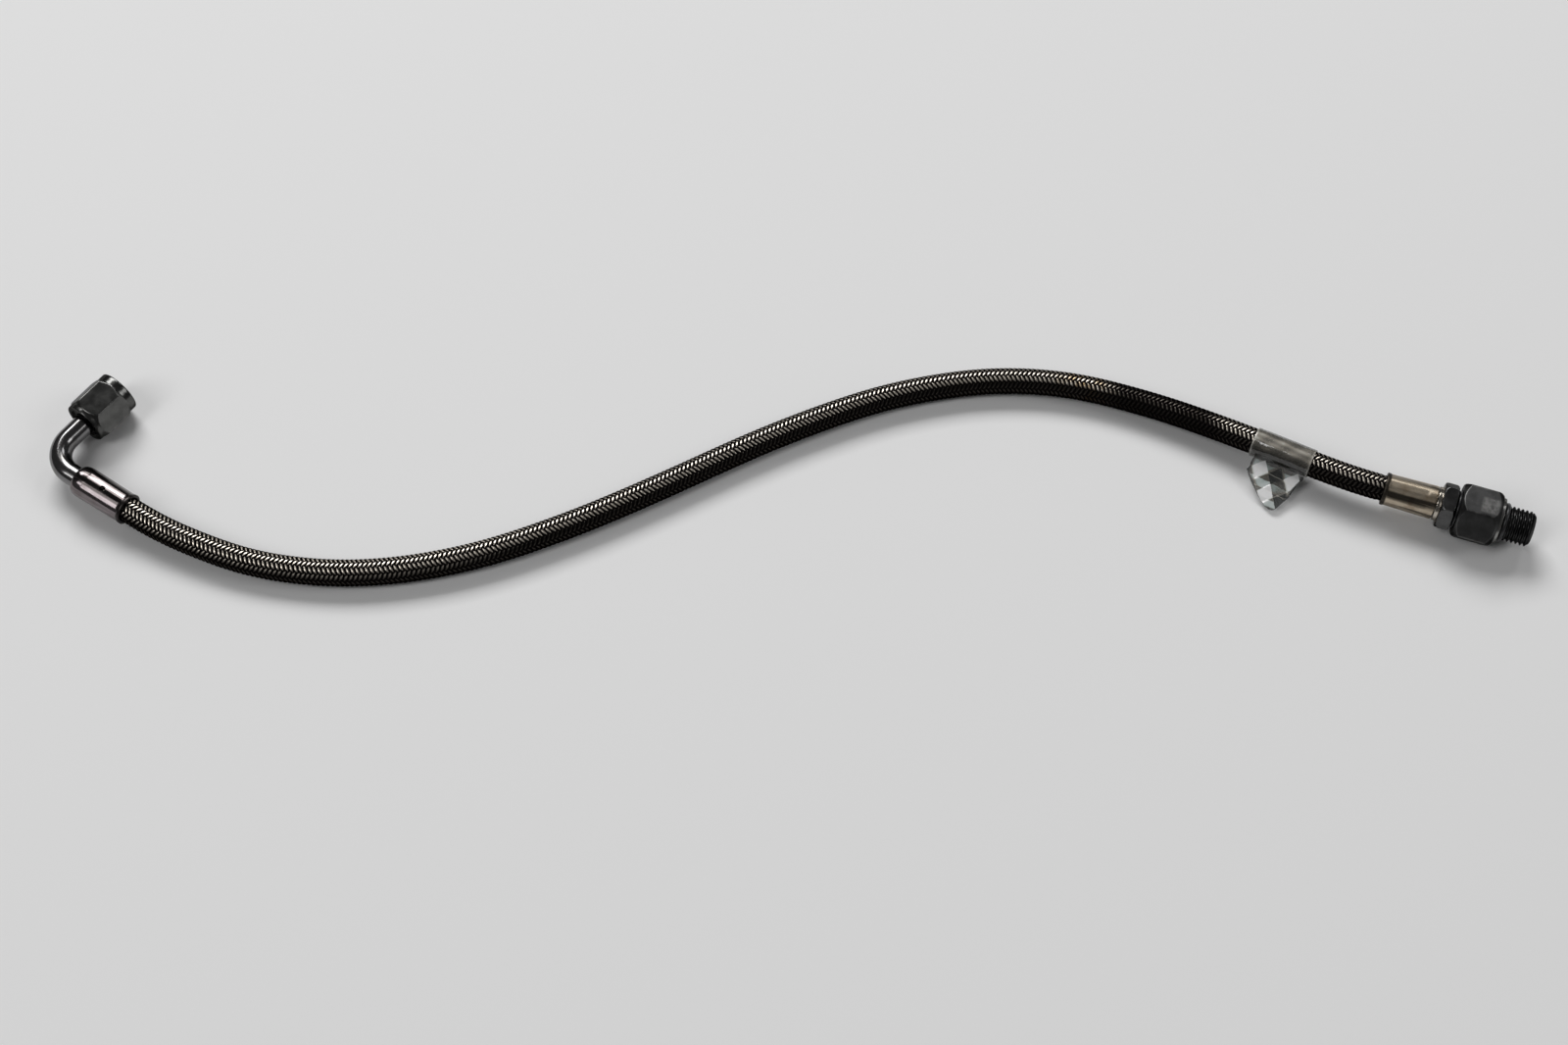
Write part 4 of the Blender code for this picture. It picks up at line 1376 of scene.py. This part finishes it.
@dataclass
class StraightEnd:
    """The straight end: crimp sleeve, stem with its small hexagon, adapter and two seals.

    Attributes:
        place: frame at the sleeve's mouth.
        sleeve_length: of the crimp sleeve.
        neck, neck_length: of the stem beside the sleeve.
        hex_flats, hex_length, hex_spin: of the small hexagon.
        groove: gap between the hexagons.
        stem_thread: over the stem's thread.
        ring_cord: thickness of an O-ring.
        adapter_flats, adapter_length: of the large hexagon.
        face, face_length: of its sealing face.
        port_neck, port_neck_length: of the neck that holds the second O-ring.
        port_thread, port_thread_length, port_pitch: of the male thread.
    """

    place: EndFrame
    sleeve_length: float = 18.3
    neck: float = 12.1
    neck_length: float = 1.3
    hex_flats: float = 15.3
    hex_length: float = 5.0
    hex_spin: float = math.radians(12)
    groove: float = 1.4
    stem_thread: float = 11.0
    ring_cord: float = 1.7
    adapter_flats: float = 19.0
    adapter_length: float = 14.0
    face: float = 16.4
    face_length: float = 1.1
    port_neck: float = 10.0
    port_neck_length: float = 2.2
    port_thread: float = 12.6
    port_thread_length: float = 9.1
    port_pitch: float = 1.5

    @property
    def hex_bottom(self) -> float:
        """Height of the small hexagon's near face."""
        return self.sleeve_length + 0.3 + self.neck_length

    @property
    def adapter_bottom(self) -> float:
        """Height of the adapter's near face."""
        return self.hex_bottom + self.hex_length + self.groove

    @property
    def adapter_top(self) -> float:
        """Height of the adapter's far face."""
        return self.adapter_bottom + self.adapter_length

    def build(self) -> list[Piece]:
        """Make and dress every piece of this end.

        Returns:
            The pieces.
        """
        # The last pair is the strip of the upper side that carries painted shade.
        sleeve = CrimpSleeve("straight_crimp", self.place, "straight_sleeve",
                             self.sleeve_length, 11.7, 12.0, 2.0, 8.6, (0.4, 0.3),
                             math.radians(8), (-4.9, -3.4))
        steel = BrightSteel("warm_crimp", (0.52, 0.445, 0.345), (0.3, 0.23, 0.16), 0.19, 1.7)
        return [sleeve.build(steel), self.stem(), self.adapter(),
                self.seal("groove_seal", "stem_o_ring", self.stem_thread / 2 - 0.8,
                          self.hex_bottom + self.hex_length),
                self.seal("port_seal", "port_o_ring", self.port_neck / 2,
                          self.adapter_top + self.face_length)]

    def seal(self, name: str, node: str, neck: float, floor: float) -> Piece:
        """An O-ring round a neck, lying on a floor: a circle carried round the axis.

        Args:
            name: the piece's name.
            node: the node that it stands for.
            neck: the neck's radius.
            floor: the floor's height.

        Returns:
            The piece.
        """
        cord = self.ring_cord / 2
        profile = [(neck + 0.3 + cord + cord * math.cos(a), floor + 0.3 + cord
                    + cord * math.sin(a)) for a in -even_angles(24)]
        return hand_over(turned_piece(name, self.place, profile),
                         SealRubber(f"{name}_rubber").build(), node)

    def stem(self) -> Piece:
        """The stem: shank in the sleeve, bright neck, chamfered hexagon and male thread.

        Returns:
            The piece.
        """
        wide, fine = self.hex_flats / math.sqrt(3), 0.08
        low, high = self.hex_bottom, self.hex_bottom + self.hex_length
        thread, root = self.stem_thread / 2, self.stem_thread / 2 - 0.8
        start, tip = self.adapter_bottom + self.ring_cord, self.adapter_bottom + 8.8
        shank, collar, barb, bore = 4.0, 4.55, 2.1, 1.6
        mouth = self.sleeve_length
        profile = [(thread, tip, 0.6), (thread, start, 0.2), (root, start), (root, high, 0.1),
                   (wide - 0.8, high, 0.1, fine), (wide, high - 0.5, 0.0, 0.3),
                   (wide, low + 1.7, 0.5, fine), (wide - 0.6, low + 0.4, 0.5, fine),
                   (wide - 1.8, low, 0.1), (self.neck / 2, low, 0.15),
                   (self.neck / 2, mouth + 0.3, 0.2), (shank, mouth + 0.3),
                   (shank, mouth - 2.3), (collar, mouth - 2.3), (collar, mouth - 3.9),
                   (barb, mouth - 3.9, 0.0, 2.6), (barb, 0.5, 0.2), (bore, 0.5), (bore, tip)]
        stem = turned_piece("stem_body", self.place, profile, sector_angles(self.hex_spin),
                            (self.hex_flats, self.hex_spin), blend=0.04)
        steel = DarkSteel("satin_stem", (0.085, 0.085, 0.085), (0.26, 0.255, 0.25), 0.3, 0.5)
        return hand_over(keep_edges(stem, 35), steel.build(self.place, self.bright_neck),
                         "straight_stem")

    def bright_neck(self, tree: ShaderTree, local: Socket, colour: Socket,
                    rough: Socket) -> Look:
        """Bare bright steel on the neck beside the sleeve.

        Args:
            tree: the material's nodes.
            local: coordinates of the end.
            colour, rough: the dark steel.

        Returns:
            Colour and roughness with the bare neck.
        """
        bare = tree.parts(local)[2].between((self.hex_bottom + 0.25) * MM,
                                            (self.hex_bottom - 0.1) * MM)
        return tree.mix(bare, colour, (0.5, 0.46, 0.4)), rough - bare * 0.12

    def adapter(self) -> Piece:
        """The adapter: hexagon, sealing face, O-ring neck and male thread.

        Returns:
            The piece.
        """
        low, high = self.adapter_bottom, self.adapter_top
        face = high + self.face_length
        neck = face + self.port_neck_length
        tip = neck + self.port_thread_length
        wide, slope = self.adapter_flats / math.sqrt(3) + 0.3, math.tan(math.radians(50))
        shoulder, seat, ring, disc = 8.9, 7.0, self.port_neck / 2, self.face / 2
        sunk, deep = low + self.ring_cord + 0.6 - self.groove, low + 9.1
        crest, port, bore = self.port_thread / 2, self.stem_thread / 2 + 0.3, 2.25
        profile = [(crest - 1.3, tip, 0.1, 0.15), (crest, tip - 1.3, 0.0, self.port_pitch / 12),
                   (crest, neck, 0.0, 0.15), (ring, neck - 0.5, 0.1), (ring, face, 0.1),
                   (disc, face, 0.15), (disc, high, 0.05), (shoulder, high, 0.1, FINE),
                   (wide, high - (wide - shoulder) * slope, 0.0, 1.2),
                   (wide, low + 2.6, 0.0, FINE), (9.0, low, 0.15), (seat, low, 0.1),
                   (seat, sunk), (port, sunk), (port, deep), (bore, deep), (bore, tip, 0.2)]
        adapter = turned_piece("adapter_body", self.place, profile, sector_angles(0.0),
                               (self.adapter_flats, 0.0),
                               Thread(neck - 0.2, tip + 0.5, self.port_pitch, 0.85, crest))
        steel = DarkSteel("satin_adapter", (0.06, 0.06, 0.06), (0.24, 0.236, 0.23), 0.34, 0.6)
        return hand_over(keep_edges(adapter, 35), steel.build(self.place, self.worn_flat),
                         "adapter")

    def worn_flat(self, tree: ShaderTree, local: Socket, colour: Socket,
                  rough: Socket) -> Look:
        """A patch rubbed bright on one flat, and a bare sealing face.

        Args:
            tree: the material's nodes.
            local: coordinates of the end.
            colour, rough: the dark steel.

        Returns:
            Colour and roughness with the worn places.
        """
        x, y, height = tree.parts(local)
        middle = (self.adapter_bottom + self.adapter_length * 0.7) * MM
        along = (height - middle).size().between(3.5 * MM, 2.5 * MM)
        across = (y + 1.2 * MM).size().between(3.5 * MM, 2.5 * MM)
        top = x.between(-8.4 * MM, -8.6 * MM)
        patch = along * across * top * tree.noise(local, 900.0, 4.0).between(0.2, 0.7) * 0.42
        bare = height.within((self.adapter_top + 0.2) * MM, (self.adapter_top + 1.2) * MM,
                             0.1 * MM)
        shown = patch.most(bare * 0.9)
        return tree.mix(shown, colour, (0.3, 0.295, 0.285)), rough - shown * 0.08


@dataclass
class TapeLabel:
    """Clear tape wrapped round the hose, its two ends stuck together in a creased flag.

    Attributes:
        route: the hose's line.
        length: along the hose.
        from_mouth: distance from the straight sleeve.
        radius, film: of the band, and the tape's thickness.
        drop, tilt: how far below the hose's middle the flag starts, and how it slopes.
        reach: how far the flag hangs out.
        folds: direction, pitch, height and shift of each set of creases.
    """

    route: HoseRoute
    length: float = 21.8
    from_mouth: float = 26.2
    radius: float = 5.25
    film: float = 0.12
    drop: float = 2.0
    tilt: float = math.radians(17)
    reach: float = 15.9
    folds: Sequence[tuple[float, float, float, float]] = (
        (0.6, 10.3, 0.8, 0.35), (2.4, 9.1, 0.7, 0.62), (1.5, 5.7, 0.35, 0.2))

    @property
    def stop(self) -> float:
        """Distance along the hose, in millimetres, at which the tape ends."""
        return self.route.mouth / MM - self.from_mouth

    def build(self) -> Piece:
        """Make the band and the flag as one piece.

        Returns:
            The piece.
        """
        label = add_grids("tape_label", [self.band(), self.flag()])
        shell = label.modifiers.new("film", 'SOLIDIFY')
        shell.thickness = self.film * MM
        shell.offset = 0.0
        return hand_over(label, ClearTape().build(), "label")

    def band(self) -> Grid:
        """The wrapped part: a round of the hose's line with shallow lengthwise wrinkles, and a
        painted highlight along its upper side.

        Its radius is the tape's plus 0.04 mm times a product of sines of angle and length.

        Returns:
            The grid, with the marks for creases and the painted highlight, and for painted light
            and shade.
        """
        run = np.linspace(self.stop - self.length, self.stop, 60)[:, None]
        turn = -even_angles(EVEN_COLUMNS)[None, :]
        wave = np.sin(5 * turn + run / 2.1) * np.sin(9 * turn - run / 3.3)
        ends = (np.exp(-((run - self.stop) / 0.5)**2)
                + np.exp(-((run - self.stop + self.length) / 0.5)**2))
        # A painted highlight along the band's upper side, which raises both marks there.
        painted_highlight = np.clip(np.cos(turn + 0.15), 0, 1)**5 * (0.75 + 0.25 * wave)
        points = self.route.wrap(run * MM + 0 * turn, turn + 0 * run,
                                 (self.radius + 0.04 * wave) * MM)
        return Grid(points, {"crease_and_highlight": np.clip(ends * 0.5 + painted_highlight * 0.62, 0, 1),
                             "painted_light": 0.15 + 0.32 * painted_highlight + 0.06 * wave}, False, True)

    def flag(self) -> Grid:
        """The hanging part: a leaf between two outline curves, folded along several creases.

        Each crease adds a triangle wave of the distance along its own direction and paints the
        faces on its two sides lighter and darker, as painted light and shade. The leaf droops as
        the square of the distance from the hose.

        Returns:
            The grid, with the marks for creases and for painted light and shade.
        """
        v = np.linspace(0, 1, 70)[:, None]
        u = np.linspace(0, 1, 70)[None, :]
        left = np.interp(v, [0.0, 0.19, 0.36, 0.55, 0.78, 0.95, 1.0],
                         [-8.8, -8.9, -9.2, -6.2, -2.2, 1.6, 3.6])
        right = np.interp(v, [0.0, 0.08, 0.25, 0.58, 0.79, 0.95, 1.0],
                          [10.3, 10.4, 9.2, 8.4, 7.0, 6.0, 5.0])
        x = left + (right - left) * u
        y = -self.reach * v + 0 * u
        fold, crease_and_highlight, painted_light = 0 * x, 0 * x, 0 * x + 0.45
        for angle, pitch, height, shift in self.folds:
            t = ((x * math.cos(angle) + y * math.sin(angle)) / pitch + shift) % 1.0
            fold = fold + height * (np.abs(t - 0.5) * 2 - 0.5)
            # Each crease paints the faces on its two sides lighter and darker: painted light and
            # shade.
            painted_light = painted_light + 0.42 * height * np.tanh((t - 0.5) / 0.05)
            crease_and_highlight = crease_and_highlight + np.exp(-((t - 0.5) / 0.03)**2)
        z = fold * smooth_step(0.0, 0.35, v) - 0.4 * v**2
        rim = np.exp(-(np.minimum(u, 1 - u) / 0.03)**2) + np.exp(-((1 - v) / 0.03)**2)
        centre, tangent, _, _ = self.route.at(np.array([self.stop - self.length / 2]) * MM)
        heading = math.atan2(tangent[0, 1], tangent[0, 0])
        out = math.sqrt((self.radius - 0.1)**2 - self.drop**2)
        place = (Matrix.Translation(Vector(centre[0]) - Vector((0, 0, self.drop * MM)))
                 @ Matrix.Rotation(heading, 4, 'Z') @ Matrix.Translation((0, -out * MM, 0))
                 @ Matrix.Rotation(self.tilt, 4, 'X'))
        points = np.stack([x, y, z], axis=-1) * MM @ np.array(place.to_3x3()).T
        return Grid(points + np.array(place.translation),
                    {"crease_and_highlight": np.clip(crease_and_highlight * 0.5 - rim, 0, 1),
                     "painted_light": np.clip(painted_light - 1.2 * rim, 0, 1)})


@dataclass
class Studio:
    """Floor, lamps and camera, in metres.

    Attributes:
        floor_colour, floor_reach: of the floor, from its middle to its edge.
        camera_at, camera_tilt, lens: of the camera, 60 degrees above the bench.
        room: strength of the dark room, so that steel mirrors the lamps as narrow lines.
        far: distance of the lamps.
        lamps: name, degrees to the right of straight back and above the bench, width and
            height, and radiance of each.
    """

    floor_colour: Colour = (0.85, 0.85, 0.85)
    floor_reach: float = 4.0
    camera_at: tuple[float, float, float] = (-0.00084, -0.44605, 0.7377)
    camera_tilt: float = math.radians(30)
    lens: float = 55.1
    room: float = 0.08
    far: float = 4.0
    lamps: Sequence[tuple[str, tuple[float, float], tuple[float, float], float]] = (
        ("back", (-14.5, 45), (2.3, 1.5), 9.5), ("left", (-119, 50), (1.2, 2.2), 4.2),
        ("right", (33, 45), (0.8, 1.1), 3.0), ("side", (96, 38), (1.4, 1.4), 3.2))

    def build(self) -> None:
        """Set everything that isn't part of the object."""
        scene = bpy.context.scene
        scene.view_settings.view_transform = 'Standard'
        self.camera(scene)
        self.floor()
        world = bpy.data.worlds.new("studio")
        world.use_nodes = True
        backdrop = world.node_tree.nodes["Background"]
        backdrop.inputs["Color"].default_value = (1.0, 1.0, 1.0, 1.0)
        backdrop.inputs["Strength"].default_value = self.room
        scene.world = world
        for lamp in self.lamps:
            self.lamp(*lamp)

    def camera(self, scene: bpy.types.Scene) -> None:
        """The camera at the photograph's angle.

        Args:
            scene: gets the camera.
        """
        data = bpy.data.cameras.new("camera")
        data.lens = self.lens
        data.sensor_width = 36.0
        camera = bpy.data.objects.new("camera", data)
        camera.location = self.camera_at
        camera.rotation_euler = (self.camera_tilt, 0.0, 0.0)
        scene.collection.objects.link(camera)
        scene.camera = camera

    def floor(self) -> None:
        """A plain pale floor."""
        places = np.array([-1.0, 0.0, 1.0]) * self.floor_reach
        x, y = np.meshgrid(places, -places)
        floor = add_grids("floor", [Grid(np.stack([x, y, 0 * x], axis=-1))])
        tree = ShaderTree("floor_paint")
        tree.set(Base_Color=self.floor_colour, Roughness=0.75)
        floor.data.materials.append(tree.material)

    def lamp(self, name: str, direction: tuple[float, float], size: tuple[float, float],
             glow: float) -> None:
        """A far rectangular lamp that looks at the middle of the line.

        Args:
            name: the lamp's name.
            direction: degrees to the right of straight back, and degrees above the bench.
            size: its width and height.
            glow: its radiance.
        """
        data = bpy.data.lights.new(name, 'AREA')
        data.shape = 'RECTANGLE'
        data.size, data.size_y = size
        data.energy = glow * math.pi * size[0] * size[1]
        turn, rise = (math.radians(angle) for angle in direction)
        lamp = bpy.data.objects.new(name, data)
        lamp.location = self.far * Vector((math.cos(rise) * math.sin(turn),
                                           math.cos(rise) * math.cos(turn), math.sin(rise)))
        lamp.rotation_euler = (-lamp.location).to_track_quat('-Z', 'Y').to_euler()
        bpy.context.scene.collection.objects.link(lamp)


def dress_inner_pieces() -> None:
    """Give the nodes that stay as modelled, all of them inside others, their finishes."""
    finishes = {
        "hose_liner": PlainFinish("lining", (0.84, 0.84, 0.81), 0.4, 0.0),
        "elbow_stem": PlainFinish("stem_turned", (0.62, 0.60, 0.57), 0.28, 1.0),
        "lock_wire": PlainFinish("spring_wire_drawn", (0.55, 0.54, 0.52), 0.3, 1.0),
    }
    for node, finish in finishes.items():
        material = finish.build()
        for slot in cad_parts[node].material_slots:
            slot.material = material
        LOG.info("dressed %s", node)


def main() -> None:
    """Build the studio, then the hose, the label and both ends."""
    logging.basicConfig(level=logging.INFO)
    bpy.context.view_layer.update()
    Studio().build()
    elbow_place = EndFrame.along((-0.23174, -0.01915, 0.00715), math.radians(147.6),
                                 math.radians(3.0))
    straight_place = EndFrame.along((0.21096, -0.01165, 0.0095), math.radians(-19.0))
    route = HoseRoute(elbow_place, straight_place)
    hose = BraidedHose(route)
    core, *covers = hose.build()
    label = TapeLabel(route).build()
    path = route.at(np.linspace(0, route.length, 140))[0]
    for piece in [core, *covers, label, *ElbowEnd(elbow_place).build(),
                  *StraightEnd(straight_place).build()]:
        LOG.info("built %s", piece.name)
    dress_inner_pieces()


if __name__ == "__main__":
    main()
